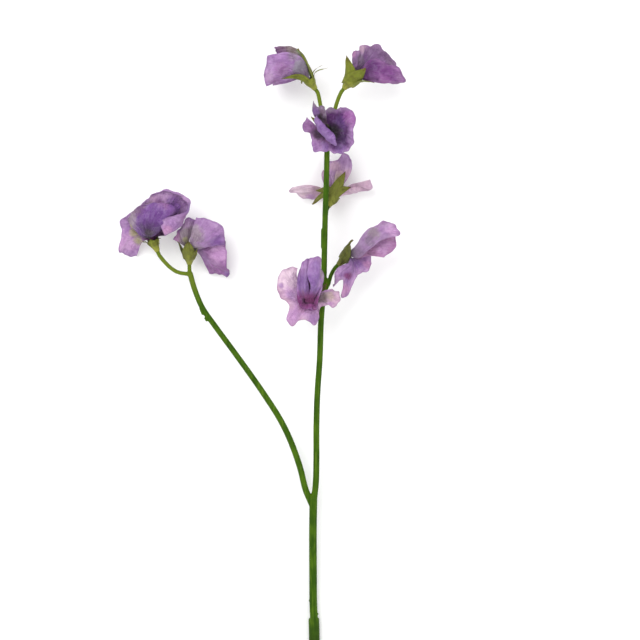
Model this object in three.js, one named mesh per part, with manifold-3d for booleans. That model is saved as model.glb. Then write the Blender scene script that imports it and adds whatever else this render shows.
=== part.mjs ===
// A sweet pea flower stem, cut and laid on its side: one forked green stem that carries eight blooms,
// each a calyx with five sepals that holds a standard, two wings and a keel.
// Millimetres. +Y runs up the stem and +Z is up from the surface that the stem lies on.
import * as THREE from "three";
import { mergeVertices } from "three/addons/utils/BufferGeometryUtils.js";
import Module from "manifold-3d";

const wasm = await Module();
wasm.setup();

// ---------------------------------------------------------------- driving dimensions
const SEAT_GAP = 0.3; // between a piece and its neighbour
const PETAL_THICK = 0.7;
const PETAL_ROWS = 5; // from claw to rim
const COLUMNS = { fewest: 4, most: 9 }; // between a petal's ribs, where the ribs themselves aren't more

const STEM = { sleeve: 3.9, stalk: 2.9, arm: [2.43, 2.07], pedicel: 1.5, sides: 8, pedicelSides: 7, ring: 9 };
const SPUR_TAPER = 0.75;
const CUP = { wall: [[1.6, 0], [2.5, 2.2], [4.3, 5.2], [4.9, 8]], thick: 0.7, floor: 4.7, sides: 10 };
const SEPAL = { from: 4, lip: 7.6, sink: 0.05, tip: 0.3, thick: 0.8, columns: 2, rows: 3 };
const SEPAL_BEND = { forward: 0.38, outward: 0.1 }; // shares of its length beyond the lip
const SEPAL_FLATTENS = 0.6; // the share of its trough that it has lost at the tip
const SEPAL_BASE = 0.3; // how far round the sine of its width it starts, in half turns

// A petal's claw stands in the calyx's cup on an arc, at an angle from the bloom's top.
const CLAW = { from: 5.1, to: 9 };
const STANDARD = { root: 2.9, radius: 3.5, angle: 0, half: 50, frill: 0.8 };
const WING = { root: 1.9, radius: 2.4, angle: 94, half: 36, frill: 0.5 };
const KEEL = { root: 0.9, radius: 1.3, angle: 180, half: 65, frill: 0 };

const STEM_GREEN = new THREE.MeshStandardMaterial({ color: "#4f6d1c", roughness: 0.6, metalness: 0 });
const CALYX_GREEN = new THREE.MeshStandardMaterial({ color: "#737a2c", roughness: 0.65, metalness: 0 });
const PETAL_PALE = new THREE.MeshStandardMaterial({ color: "#d7b3dc", roughness: 0.7, metalness: 0 });
const PETAL_LILAC = new THREE.MeshStandardMaterial({ color: "#b489bd", roughness: 0.7, metalness: 0 });
const PETAL_PURPLE = new THREE.MeshStandardMaterial({ color: "#7d4a8e", roughness: 0.7, metalness: 0 });

// Centre lines of the stem, from the cut end up, and the leaf scars and stubs on it: root, tip and radius.
const SLEEVE = [[34.8, -200, 3.8], [34.6, -188, 4], [34.3, -175.5, 4.4]];
const STALK = [
  [34.7, -198, 3.9], [34.6, -180, 4.6], [34, -168, 5.2], [33.8, -145, 6.8], [33.7, -120, 8.6], [34, -96, 10.4],
];
const MAIN_ARM = [
  [34, -100, 10.1], [35.6, -86, 11.4], [36, -70, 12.6], [36, -50, 14.2], [36.6, -28, 16], [38.2, -4, 18],
  [39, 20, 20], [40.6, 42, 21.6], [41.2, 65, 23], [41.7, 88, 24.4], [42.6, 116, 25.6], [43, 138, 26],
  [43.2, 147, 26],
];
const SIDE_ARM = [
  [34, -102, 10], [28.9, -90, 10.6], [25.4, -76, 11], [19, -58, 11.4], [12.2, -44, 11.6], [2, -28, 11.8],
  [-8.4, -13, 12], [-20, 3, 12.2], [-31, 18, 12.3], [-38.6, 29, 12.3], [-44, 42, 12.2], [-46.8, 52, 12],
];

const SPURS = [
  [[33.5, -165, 5.4], [30.9, -163.4, 5.7], 1.3],
  [[34.2, -174, 5], [37.6, -172.4, 5.3], 1.3],
  [[40.4, 68, 23], [39.3, 80, 24.4], 1.6],
  [[-35.4, 20.4, 12.3], [-37.6, 22.4, 12.7], 1],
  [[-38, 24.6, 12.3], [-40.6, 28.6, 12.9], 1.1],
  [[-44.3, 40, 12.2], [-41.9, 41.4, 12.6], 1],
];

// ---------------------------------------------------------------- the blooms
// Each bloom has the foot of its calyx, the way it points, the side that its standard is on, its pedicel's
// points and its sepals: the tip and half width of each and, for one that leans aside, the angle of its seat.
// A petal is a list of ribs, each a list of points from claw to rim.
const LEFT_OUTER = {
  name: "left_outer",
  foot: [-67.7, 65.8, 14.8],
  aim: [-0.38, 0.9, 0.2],
  top: [0, 0.2, -1],
  pedicel: [[-46.8, 51, 12], [-54.6, 52.2, 12.5], [-59.8, 55.5, 13], [-64.6, 60.6, 13.8]],
  sepals: [
    [-72, 73.5, 22, 2.2], [-65.8, 74, 17, 2.4], [-77.5, 72, 17, 2.4], [-66, 77, 8, 2.4], [-76, 77, 7, 2.4],
  ],
  standardHalf: 75,
  standard: [
    [[-77, 72.5, 14], [-79.5, 70, 9], [-82, 64, 3]],
    [[-78.5, 73.5, 14], [-83.5, 70.5, 9], [-87, 63, -1]],
    [[-79.5, 75, 14], [-87, 73.5, 13], [-93.6, 66.5, 6]],
    [[-80, 77, 14], [-86, 79.5, 16], [-91, 78.5, 14]],
    [[-79.5, 79, 13], [-86, 84, 17], [-92, 85.5, 15]],
    [[-78, 80.5, 13], [-82.5, 86.5, 17], [-87.5, 89, 17]],
    [[-75, 81.5, 12], [-77, 90, 16], [-79, 94.3, 18]],
    [[-71.5, 82.5, 12], [-73, 94, 15], [-74.5, 98.5, 19]],
    [[-68.5, 83, 12], [-67.5, 97, 15], [-66.5, 104, 21], [-66.3, 101.8, 24]],
    [[-66, 82.5, 12], [-61, 97, 15], [-56.5, 104.6, 23], [-57.5, 101, 27]],
    [[-64.5, 81, 12], [-55.5, 94.5, 15], [-47.8, 101.3, 24], [-51, 98, 30]],
    [[-63.7, 79.5, 12.5], [-54, 89, 16], [-45.5, 93.5, 26], [-49.3, 92.3, 31]],
    [[-63.8, 78, 13], [-55, 85.5, 17], [-48.6, 87.3, 26], [-51.5, 87, 30]],
    [[-64.5, 76.5, 14], [-57.5, 80.5, 19], [-51.5, 81.5, 28]],
    [[-66, 75.8, 15.5], [-62.5, 76.5, 19.5], [-60.5, 76.2, 25]],
  ],
  wingRight: [
    [[-66.5, 79, 18], [-60, 84.5, 21], [-54.5, 88, 24]],
    [[-66.8, 80, 20], [-59, 88, 23], [-52.5, 92.2, 26]],
    [[-67.2, 80.5, 22], [-58.5, 91, 24.5], [-51.8, 96, 26]],
    [[-68.2, 80.5, 23], [-61, 92, 25], [-55.5, 98.5, 26.5]],
    [[-69.5, 80.5, 23], [-65, 91, 25], [-60.5, 97.5, 26]],
  ],
  wingLeft: [
    [[-77, 75, 18], [-80.5, 77.5, 20], [-84.5, 81.5, 21]],
    [[-76.5, 76, 22], [-81.5, 80.5, 26], [-86.5, 86.5, 24]],
    [[-75.5, 76.5, 25], [-80, 85, 31], [-83, 91, 27]],
    [[-74.5, 76.8, 27.5], [-76, 87, 34.5], [-77, 94.8, 30]],
    [[-73.3, 77, 29], [-71, 88, 37], [-69.5, 96, 32]],
    [[-72, 77, 29.5], [-66, 87, 37], [-61.5, 96, 32.5]],
    [[-70.7, 76.8, 29], [-62.5, 85, 35.5], [-55, 93.5, 32]],
    [[-69.4, 76.3, 27.5], [-62, 82, 31.5], [-53.6, 88, 29.5]],
    [[-68.7, 75.8, 25], [-63.5, 79.5, 27.5], [-57, 84.5, 28]],
  ],
  keel: [
    [[-70, 77, 20.5], [-66.5, 83, 23.5], [-63, 88, 26]],
    [[-71, 77, 23], [-68.5, 85, 27.5], [-65.5, 91, 29]],
    [[-73.3, 77, 21], [-73, 84, 24], [-73, 90, 25.5]],
  ],
};

const LEFT_INNER = {
  name: "left_inner",
  foot: [-47.1, 57.4, 12.2],
  aim: [0.02, 0.95, 0.3],
  top: [0.8, -0.1, -0.6],
  pedicel: [[-46.8, 50, 12]],
  sepals: [
    [-47, 72.3, 25, 4.3], [-54.4, 73, 16.5, 2.9], [-41.2, 67.5, 21, 2.4],
    [-50, 69, 5.5, 2.6], [-46, 69, 4, 2.6],
  ],
  standard: [
    [[-42.5, 71, 12], [-33, 78, 9], [-27, 80.5, 9]],
    [[-41.5, 69.5, 12.5], [-31.5, 74, 12], [-24, 74.5, 13]],
    [[-40.5, 68.3, 13.5], [-31, 69.5, 16], [-23, 68.5, 17]],
    [[-40, 67.3, 14], [-31, 65.5, 17], [-22.3, 62, 17]],
    [[-39.8, 66.5, 14], [-31.5, 61, 16], [-22.5, 55, 14]],
    [[-39.8, 65.8, 13.5], [-32.5, 58.5, 13], [-20.5, 52.3, 10]],
    [[-40, 65.2, 13], [-34, 57.5, 11], [-22.3, 49.3, 7]],
    [[-40.3, 64.7, 12.5], [-35.5, 57.5, 9.5], [-28, 50.8, 5]],
    [[-40.8, 64.3, 12], [-37.6, 58.5, 9], [-34.6, 51.6, 4]],
  ],
  wingRight: [
    [[-40.3, 67, 17.5], [-33, 68.6, 20.5], [-23.8, 69.6, 21]],
    [[-40.8, 68, 20], [-32.5, 71.8, 24.5], [-23.3, 75, 23.5]],
    [[-41.8, 69, 21.5], [-33, 75.5, 27.5], [-25, 81.8, 25.5]],
    [[-43, 70, 22], [-37, 78, 28.5], [-30, 84.7, 26.5]],
    [[-44.3, 70.7, 22], [-40.5, 78.5, 28], [-35.5, 86.3, 26.5]],
    [[-46.2, 71.5, 21.5], [-44.8, 78.5, 26], [-42, 87.3, 25.5]],
  ],
  wingLeft: [
    [[-50.5, 69.4, 16], [-53.5, 71.5, 16.5], [-57.3, 73.6, 15.5]],
    [[-50.7, 70.8, 17.5], [-53.8, 75, 19.5], [-54.5, 78.8, 19]],
    [[-50, 71.8, 18.5], [-52.3, 77.5, 21], [-51, 82.5, 21]],
    [[-49.2, 72, 19], [-50.3, 79, 22.5], [-49.2, 86.3, 21.5]],
    [[-48.3, 72, 18.5], [-47.8, 79, 21.5], [-46, 87.6, 21]],
    [[-47.3, 71.5, 17], [-44.3, 78, 17.5], [-39.5, 84.5, 18]],
  ],
  keel: [
    [[-43.5, 67.1, 15], [-39.6, 71, 16], [-35.1, 74.3, 16]],
    [[-44.8, 68.4, 17], [-41.6, 73, 19], [-37, 77.5, 19]],
    [[-46.1, 68.4, 15], [-43.5, 73, 16], [-39.6, 77.5, 16]],
  ],
};

const TOP_LEFT = {
  name: "top_left",
  foot: [35.4, 170.4, 24.5],
  aim: [-0.55, 0.78, 0.3],
  top: [0.8, 0.6, 0],
  pedicel: [[43.3, 146, 26], [40.3, 152.3, 26], [38.6, 160.1, 25.5], [37.6, 165.5, 25]],
  sepals: [
    [13.7, 175.4, 37, 2.4], [26.2, 193.2, 36, 1.9], [43, 183.2, 30, 1.3],
    [40, 186.4, 22, 0.8], [26.5, 175.6, 12.5, 2.2],
  ],
  standard: [
    [[29.3, 184.5, 17], [24.5, 190.5, 11], [17.5, 193, 8], [10.5, 191.5, 8]],
    [[30, 187.5, 21], [25.5, 193.5, 17], [18, 196.3, 14], [9.7, 196, 14]],
    [[30.3, 188, 25], [26, 194.5, 25], [18.5, 198, 24], [9, 197.5, 23]],
    [[30, 187.5, 28.5], [25.8, 193.8, 31], [18.5, 197, 33], [8.9, 196, 32]],
    [[29.4, 186, 31], [25, 191.5, 36], [18, 193.3, 39], [12, 193, 38.5]],
    [[28.6, 184, 32.5], [23.5, 187.5, 38.5], [16.5, 188.5, 41], [11.5, 189.5, 40]],
    [[28, 182, 33], [22.5, 183, 38.5], [17, 183, 40.5], [12.5, 185.5, 39.5]],
  ],
  wingRight: [
    [[26.5, 186.5, 29], [20, 189.5, 33], [12, 190.3, 35], [6, 190, 34.5]],
    [[25.5, 184.7, 30.2], [18, 186, 35], [10, 186.7, 36.5], [4.7, 186.8, 35]],
    [[24.8, 182.5, 30.7], [15.5, 182.2, 36.5], [8.5, 181.5, 37.5], [3.3, 181, 35]],
    [[24.6, 180.2, 30.3], [14.5, 178.3, 36], [8, 177, 37.3], [2.6, 176.8, 34.5]],
    [[26, 177.2, 28.3], [17.5, 175, 32.5], [9, 173, 34], [4.4, 171.2, 33]],
  ],
  wingLeft: [
    [[25.5, 185.5, 19], [19, 189, 13], [10, 190, 14]],
    [[24.8, 181.5, 17], [14.5, 183, 10], [5, 183, 13]],
    [[25.6, 178.3, 18], [16.5, 176, 13], [7.5, 174, 14]],
  ],
  keel: [
    [[26, 180.4, 26.5], [18.9, 180, 27.5], [11.7, 179.5, 27]],
    [[25.6, 179, 24.5], [18.9, 178, 24], [11.7, 177.5, 24]],
    [[26, 180.5, 22.8], [18.9, 180.5, 20.5], [11.7, 180, 21]],
  ],
};

const TOP_RIGHT = {
  name: "top_right",
  foot: [53.8, 170.8, 24.3],
  aim: [0.6, 0.75, 0.28],
  top: [-0.78, 0.62, 0],
  pedicel: [[43.3, 146, 26], [46.8, 152.3, 26], [48.8, 160.1, 25.5], [50.8, 165.8, 24.8]],
  sepals: [
    [54.5, 191.5, 36, 3.2, -65], [68, 181.5, 38, 4.2], [72.8, 173.8, 34, 2.2],
    [57, 184, 13, 2.4], [66, 176.5, 13, 2.4],
  ],
  standard: [
    [[59.3, 184.5, 29.5], [58.5, 189, 34], [58.2, 191.8, 36]],
    [[61, 185.5, 29], [60.8, 190.3, 32.5], [60.8, 193.8, 35]],
    [[62.7, 186.3, 27.5], [62.9, 191, 28.5], [63.3, 194, 31.5]],
    [[64.3, 186.8, 25.5], [65.3, 193.5, 28], [66, 197.7, 32]],
    [[66.2, 187, 23.5], [69, 194.8, 24], [70.3, 197.6, 28]],
    [[67.6, 186.8, 21.5], [73, 194, 22.5], [75.3, 198.1, 30]],
    [[68.8, 186, 20], [77, 192.5, 20.5], [80.3, 195, 29]],
    [[69.8, 185, 18.8], [80, 190, 19.5], [85.3, 190.5, 28.5]],
    [[70.5, 183.5, 18], [81.5, 186.3, 18.5], [88.6, 185, 27]],
    [[70.8, 182, 18], [82, 183, 17.5], [89, 181.5, 23]],
  ],
  wingRight: [
    [[65.6, 183, 25], [72, 187.5, 27], [78.5, 188, 27]],
    [[67, 181, 25], [77.3, 184.5, 27], [86.5, 184.3, 27]],
    [[67, 178.5, 24], [77.3, 179, 26], [88, 178.5, 26]],
  ],
  wingLeft: [
    [[64.8, 182.5, 30], [69, 187.3, 33], [74.5, 189.5, 33.5]],
    [[65.5, 181.5, 31], [72, 185.3, 35], [80.5, 186, 34.5]],
    [[65.8, 180.2, 31.5], [75, 182.3, 36.5], [88.3, 183.3, 34.5]],
    [[65.8, 179, 31.5], [77, 179.2, 37], [91, 179, 35.5]],
    [[65.5, 177.8, 31], [78, 176.2, 36], [93.6, 174.2, 34.5]],
    [[64.8, 176.8, 30], [77, 174.5, 33.5], [88, 172.9, 32.5]],
    [[64, 176.2, 28.5], [72.5, 174.2, 30.5], [80, 173.3, 31]],
  ],
  keel: [
    [[66, 180.5, 27], [73, 181, 29.5], [80, 182, 30.5]],
    [[66, 179, 27.5], [73, 178.3, 30.5], [80, 178, 31.5]],
    [[66, 177.7, 27], [73, 176.5, 28.5], [80, 176, 29]],
  ],
};

const UPPER_FRONT = {
  name: "upper_front",
  foot: [42.4, 139.5, 29.5],
  aim: [0.1, 0.15, 0.98],
  top: [0.9, 0.3, -0.1],
  pedicel: [[43.2, 139.5, 26]],
  sepals: [
    [32.8, 150.8, 37.5, 2.2], [52, 146, 36, 2.4], [51, 133, 35, 2.4], [42, 130, 35, 2.4], [34, 136, 36, 2.4],
  ],
  standard: [
    [[43.2, 146.3, 40], [41.5, 150.5, 42], [41, 154, 43]],
    [[45, 147.2, 41], [45.2, 152.5, 44.5], [45.3, 156.3, 46.5]],
    [[46.8, 147.2, 41], [48.3, 152.3, 44], [48.8, 154.8, 45.5]],
    [[48.5, 146.8, 41], [51.3, 152.8, 46], [52.3, 156.4, 48.5]],
    [[49.8, 145.8, 41], [55, 151.2, 47.5], [57.8, 154.4, 49.5]],
    [[50.6, 144.3, 41], [57, 147.8, 48.5], [61, 149.2, 49.5]],
    [[51, 142.3, 41], [56, 142.8, 46.5], [59.5, 142.6, 49]],
    [[51, 140.3, 40.5], [56.5, 138.4, 46], [60, 137, 49]],
    [[50.6, 138.3, 40.5], [56, 134.3, 45.5], [58.8, 131, 48.5]],
    [[49.5, 136.8, 40], [52.5, 131.3, 45], [54, 127.2, 47.5]],
    [[48, 136, 39.8], [49.3, 131, 43.5], [50, 126.3, 46.5]],
    [[45.7, 135.6, 39.7], [44.8, 131, 43.2], [43.6, 128.9, 44.5]],
  ],
  wingRight: [
    [[44.8, 136, 38.3], [45, 133, 40.3], [45, 129.3, 40.8]],
    [[42.3, 136, 40], [40.5, 133, 43], [38.5, 128.2, 44]],
    [[40.3, 136.5, 40.5], [37.3, 132.5, 43.5], [34, 128.8, 44]],
    [[38.8, 137.6, 40.7], [35.3, 135, 43], [33.2, 132.8, 43]],
    [[37.6, 139.3, 40.7], [34, 139, 42], [32, 139.5, 41.5]],
    [[37, 140.8, 40.7], [32.3, 141.3, 42], [28, 141.7, 42]],
    [[36.6, 142.5, 40.7], [31.5, 145, 42.5], [27.6, 145.5, 42.5]],
    [[36.6, 144.3, 40.7], [32.5, 148, 42], [29.8, 150.5, 41.5]],
  ],
  wingLeft: [
    [[42.8, 147, 43.5], [42.3, 150.5, 47], [41.8, 154, 48.5]],
    [[41.7, 147.5, 44.5], [40.5, 152, 49.5], [40, 156.8, 50]],
    [[40.3, 147.5, 44], [38, 151.7, 47.5], [37.2, 156, 48]],
    [[39, 147.3, 43], [35.8, 152.3, 47.5], [34.2, 159.8, 50]],
    [[38, 146.5, 42], [34.8, 150.3, 44.5], [33.2, 154.2, 47]],
  ],
  keel: [
    [[43, 136.5, 43], [47, 131.8, 47.5], [49, 131.5, 50], [49.3, 133.5, 51.5]],
    [[42, 136.8, 43.5], [43.5, 134.3, 48], [46, 135.3, 51], [47.8, 137, 52.5]],
    [[41, 137.5, 44], [40.3, 137.5, 48], [42.3, 139.3, 51.5], [44.5, 140.8, 53]],
    [[40, 138.8, 44], [37.5, 140.8, 48], [39, 142.5, 51.5], [41, 144.5, 53]],
    [[39.3, 140.6, 43.5], [35.3, 144.5, 47.5], [36.2, 146, 50.5], [38, 147.8, 52]],
    [[39, 142.5, 43], [34.3, 148, 46.5], [35, 149.3, 49], [36.3, 150.3, 50.5]],
  ],
};

const UPPER_BACK = {
  name: "upper_back",
  foot: [43.6, 94.8, 17.8],
  aim: [0.35, 0.85, -0.35],
  top: [0, -0.65, -0.75],
  pedicel: [[42, 85, 24.3], [42.2, 88.5, 22.6], [42.6, 91.5, 20.2]],
  sepals: [
    [54.6, 117.3, 20.5, 3.7], [58.3, 107.8, 16.5, 2.5], [34, 96.6, 16, 2.6],
    [35.2, 103.5, 13.5, 2], [51.5, 101, 4.5, 2.4],
  ],
  standard: [
    [[43, 105, 12], [38, 108, 12.5], [30, 109.3, 13], [20, 107.8, 12.5]],
    [[43, 104, 11], [37, 106.3, 11.5], [28.5, 106, 12], [17.8, 105.4, 12]],
    [[43, 103, 10], [37, 104.3, 9.5], [30, 103.3, 9], [23, 103, 9.5]],
    [[43.5, 102, 8.5], [38, 102.5, 6.5], [33.5, 100.8, 6], [29.5, 100.2, 6]],
    [[45, 101.5, 6.5], [43, 101.5, 3], [42, 101.5, -1]],
    [[48.5, 102, 5.5], [50, 102.5, 2.5], [51, 103.5, -1]],
    [[52, 104, 7.5], [56, 106.5, 8.5], [60, 108.7, 9.5], [66.5, 105.3, 10.5]],
    [[52.6, 105, 9.5], [57, 107.7, 10.5], [62, 109.6, 12], [72.5, 107, 13]],
    [[52.6, 106, 11], [57, 108.6, 12], [62, 110.3, 13], [71, 112.8, 13.5]],
  ],
  wingRight: [
    [[53, 108.5, 11.5], [56.5, 113.5, 11], [59.2, 119, 10.5], [59.6, 123, 10]],
    [[52.3, 109.3, 12.5], [54.8, 117, 11.8], [57, 124, 10.8], [58, 128, 9.5]],
    [[51.2, 109.6, 13], [52.3, 118, 12.5], [53.5, 125, 11.5], [54.7, 130.7, 10]],
    [[50, 109.3, 13], [49.8, 117, 12.5], [50, 122, 12], [50, 126.3, 11]],
    [[48.4, 108.4, 12.5], [46, 113.5, 12], [43.4, 120, 11], [42.5, 125, 10]],
  ],
  wingLeft: [
    [[44, 105.8, 12.5], [41.3, 108.8, 12.7], [40.3, 111.5, 12.5]],
    [[44.8, 106.7, 12.2], [41.8, 111.5, 11.5], [39.3, 116.8, 10.5]],
    [[46, 107.4, 11.5], [43.5, 113.5, 10], [42.5, 121, 8.5]],
    [[48.3, 108, 10.6], [47.8, 114, 9.2], [47.3, 122, 7.5]],
  ],
  keel: [
    [[47.3, 109, 15.5], [48, 113.5, 16], [49, 118.5, 15.5]],
    [[49, 109.3, 16.3], [50.5, 114, 17.2], [52, 119, 16.3]],
    [[50.8, 109, 15.3], [53, 113.5, 15.3], [54.3, 117, 14.7]],
  ],
};

const LOWER_FRONT = {
  name: "lower_front",
  foot: [36.4, 36, 25],
  aim: [-0.4, -0.3, 0.87],
  top: [-0.3, -0.85, -0.43],
  pedicel: [[39.9, 38, 20.9]],
  sepals: [[42.9, 44.4, 30, 2.4], [35, 46, 31, 2.4], [44, 33, 30, 2.4], [23.5, 38, 29, 2.4], [31, 25, 29, 2.4]],
  standardHalf: 80,
  standard: [
    [[38.3, 37.8, 35.5], [42.5, 40.2, 34], [46, 41, 32.5]],
    [[38.7, 36.8, 36], [44.5, 38.5, 36], [50.7, 38.8, 33.5]],
    [[38.6, 35.5, 36.3], [44.8, 35, 36.5], [51, 33.5, 34.5]],
    [[38.2, 34.2, 36.3], [43.5, 31.8, 36], [46.8, 28.8, 34.5]],
    [[37.5, 33.2, 36], [40.5, 31.5, 35.5], [41.8, 30.5, 35]],
    [[36.5, 32, 36], [37.5, 29.5, 35.7], [38.2, 28, 35.5]],
    [[35.3, 31, 36], [37, 26, 36], [37.5, 21.5, 36]],
    [[33.8, 30, 36], [34.3, 24, 37], [34.5, 17.8, 36.5]],
    [[32, 29.3, 36.2], [31, 25, 37.3], [30.5, 20.5, 37]],
    [[30.3, 29, 36.3], [27.8, 25.3, 37.5], [26.5, 21, 37]],
    [[28.8, 29.2, 36.3], [24, 24.5, 38], [20.5, 17, 37]],
    [[27.5, 30, 36.3], [22, 26.5, 38], [16.8, 20.5, 37]],
    [[26.5, 31.2, 36.3], [21.5, 31.5, 38], [18.6, 30.8, 37.5]],
    [[25.7, 33, 36.3], [19, 35.5, 38.5], [13.5, 35, 37]],
    [[25.3, 35.5, 36.3], [17, 41, 39], [10.6, 42.5, 37]],
    [[25.5, 38, 36.5], [17, 47, 39], [13, 51.5, 37.5]],
    [[26, 40, 36.7], [20.5, 50.5, 39], [19.5, 55.2, 38.5]],
    [[26.7, 41.5, 37], [23.5, 50, 39.3], [24, 54.5, 39.5]],
  ],
  wingRight: [
    [[30.5, 30.8, 39], [29.5, 28.8, 41], [29, 27.5, 42]],
    [[28.8, 31.3, 39.5], [26.8, 30, 41.5], [25.8, 29.5, 42.5]],
    [[27.8, 32.8, 40.5], [25, 34, 43], [23.9, 34.6, 43.5]],
    [[27.5, 34.5, 42], [25.3, 41, 45.5], [24.4, 50, 45.5]],
    [[28, 35, 43.5], [27, 44, 49], [27.3, 58, 46.5]],
    [[29, 35, 44.7], [29.5, 45, 52], [31, 59.5, 49]],
    [[30.2, 34.7, 44.7], [30.8, 41, 49], [31, 48, 52.3], [34, 59.7, 50]],
  ],
  wingLeft: [
    [[33, 30.8, 39], [33.8, 28.8, 41], [34.5, 27.6, 42]],
    [[34.3, 31.3, 39.5], [36, 31, 41.5], [36.8, 31.5, 42.5]],
    [[34.8, 33.3, 41], [38, 36, 43.5], [38.8, 37.5, 43.5]],
    [[34.9, 35, 42.5], [39, 43, 45], [40.6, 48, 45]],
    [[34.5, 36, 44], [38, 46, 49], [39.3, 55, 47]],
    [[33.8, 36, 45], [36.5, 46, 52], [38.6, 60.7, 49.5]],
    [[32.8, 36, 45.5], [33, 42.5, 51], [32, 49, 54.3], [34, 60.2, 52.5]],
  ],
  keel: [
    [[30, 36, 40.5], [29.8, 42, 42], [30, 56, 43.5]],
    [[31.4, 35.5, 42], [31.6, 43, 44.5], [32, 58, 46]],
    [[32.8, 36, 40.5], [33.6, 42, 42], [34, 56, 43.5]],
  ],
};

const LOWER_SIDE = {
  name: "lower_side",
  foot: [50.1, 56.8, 22],
  aim: [0.7, 0.7, 0.15],
  top: [0.5, -0.75, 0.4],
  pedicel: [[41, 39.5, 21.4], [43.6, 43.7, 22], [45.5, 50.2, 22]],
  sepals: [
    [60, 72.2, 26, 2.7], [53.5, 66, 14, 2.4], [57.5, 68, 33, 2.7],
    [58.5, 58, 14.5, 2.4], [50.8, 55.8, 26, 1.8],
  ],
  standardHalf: 28,
  standard: [
    [[62.8, 61.2, 20.6], [68.5, 63.6, 19.5], [71.5, 62.6, 19]],
    [[62.8, 59.2, 23.5], [68, 58, 22], [71.7, 57, 21]],
    [[62.3, 57.8, 25], [66, 54.5, 25], [69.5, 53, 24.5]],
    [[61.5, 56.9, 26.5], [63.5, 53, 27], [65, 51.5, 26.5]],
    [[60.8, 56.4, 27.5], [60.5, 51, 29], [61.5, 48.2, 28.5]],
    [[60.2, 56.3, 28.3], [58, 49.5, 30.5], [57, 44, 30], [56.8, 37.5, 28]],
    [[59.6, 56.5, 29], [56.3, 48.5, 31.5], [54, 42, 30.5], [52.4, 35.5, 28]],
    [[59, 56.8, 29.5], [55.2, 50.5, 31.5], [53, 47, 30.5]],
    [[58.2, 57.1, 30], [52.5, 51, 31.5], [49.5, 45, 30], [46.5, 41.8, 28]],
    [[57.4, 57.5, 30.3], [51.5, 54, 31.5], [48.3, 51.5, 30.5], [47.8, 46.5, 29]],
    [[56.6, 58, 30.3], [52.5, 56.3, 31], [49, 54.2, 30.5]],
  ],
  wingRight: [
    [[63, 60.8, 29.5], [70, 66, 33], [78, 71.5, 34.5], [85, 74, 34]],
    [[63.2, 62.7, 31.5], [71.5, 69.5, 36.5], [81, 75, 38], [89.5, 75.6, 35.5]],
    [[62.8, 64.7, 32.5], [71, 73.3, 38.3], [80, 78.7, 39.3], [88, 80.3, 36]],
    [[62, 66.2, 32.3], [69.5, 75.8, 37.3], [77, 80.8, 38.3], [84.5, 83.3, 35.5]],
    [[61.2, 67.3, 31], [67, 76.3, 34.5], [74, 80.8, 35.5], [79.8, 84.7, 34.5]],
    [[60.5, 68, 29], [65, 74.2, 31], [70, 79.6, 32], [75, 81.6, 32]],
  ],
  wingLeft: [
    [[62.7, 60.3, 24.5], [67, 62, 25], [72, 62.5, 26], [79.3, 61.5, 27]],
    [[63.2, 61.5, 24.5], [69.5, 64.5, 26], [77, 64.5, 28], [84, 64.5, 28.5]],
    [[63.3, 62.8, 24], [71, 67.5, 26], [79, 69, 28.5], [87.3, 68.7, 29]],
    [[63, 64, 23], [71, 70.8, 24.5], [79, 73.2, 26.5], [87.3, 73.8, 28]],
    [[62, 65.5, 22], [69.5, 74.5, 23], [77, 79, 25], [84, 81, 26.5]],
    [[60.8, 66.7, 22], [66.5, 74.5, 22.5], [72, 79, 24], [78, 82.3, 26]],
  ],
  keel: [
    [[62, 65.2, 26.3], [67.5, 70, 27.5], [73, 74, 28.5]],
    [[62, 65.8, 28], [68.5, 70.5, 30], [74.5, 73.5, 31]],
    [[60.7, 67, 27], [66.5, 72.5, 27.8], [72.5, 77, 28.5]],
  ],
};

const BLOOMS = [LEFT_OUTER, LEFT_INNER, TOP_LEFT, TOP_RIGHT, UPPER_FRONT, UPPER_BACK, LOWER_FRONT, LOWER_SIDE];

// ---------------------------------------------------------------- solids
const vector = (point) => new THREE.Vector3(...point);
const smoothLine = (points) => new THREE.CatmullRomCurve3(points, false, "centripetal");

function toManifold(geometry) {
  const bare = new THREE.BufferGeometry();
  bare.setAttribute("position", geometry.getAttribute("position"));
  bare.setIndex(geometry.index);
  const merged = mergeVertices(bare, 1e-4);
  return new wasm.Manifold(new wasm.Mesh({
    numProp: 3,
    vertProperties: merged.attributes.position.array,
    triVerts: new Uint32Array(merged.index.array),
  }));
}

function toGeometry(solid) {
  const mesh = solid.getMesh();
  const geometry = new THREE.BufferGeometry();
  geometry.setAttribute("position", new THREE.BufferAttribute(mesh.vertProperties, 3));
  geometry.setIndex(new THREE.BufferAttribute(mesh.triVerts, 1));
  return geometry;
}

// A cylinder whose rings follow a line, with a radius for each share of its length.
// Nothing of it reaches below the surface that the stem lies on.
function tube(points, radiusAt, sides) {
  const line = smoothLine(points.map(vector));
  const steps = Math.max(2, Math.round(line.getLength() / STEM.ring));
  const frames = line.computeFrenetFrames(steps, false);
  const geometry = new THREE.CylinderGeometry(1, 1, 1, sides, steps);
  const position = geometry.getAttribute("position");
  for (let i = 0; i < position.count; i++) {
    const share = position.getY(i) + 0.5;
    const ring = Math.round(share * steps);
    const radius = radiusAt(share);
    const at = line.getPointAt(share)
      .addScaledVector(frames.binormals[ring], position.getX(i) * radius)
      .addScaledVector(frames.normals[ring], position.getZ(i) * radius);
    position.setXYZ(i, at.x, at.y, Math.max(at.z, 0));
  }
  return toManifold(geometry);
}

// The way a grid of points, rows[row][column], faces at one of its points.
function facing(rows, j, i) {
  const row = rows[j];
  const side = row[Math.min(i + 1, row.length - 1)].clone().sub(row[Math.max(i - 1, 0)]);
  const out = rows[Math.min(j + 1, rows.length - 1)][i].clone().sub(rows[Math.max(j - 1, 0)][i]);
  return side.cross(out).normalize();
}

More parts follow.
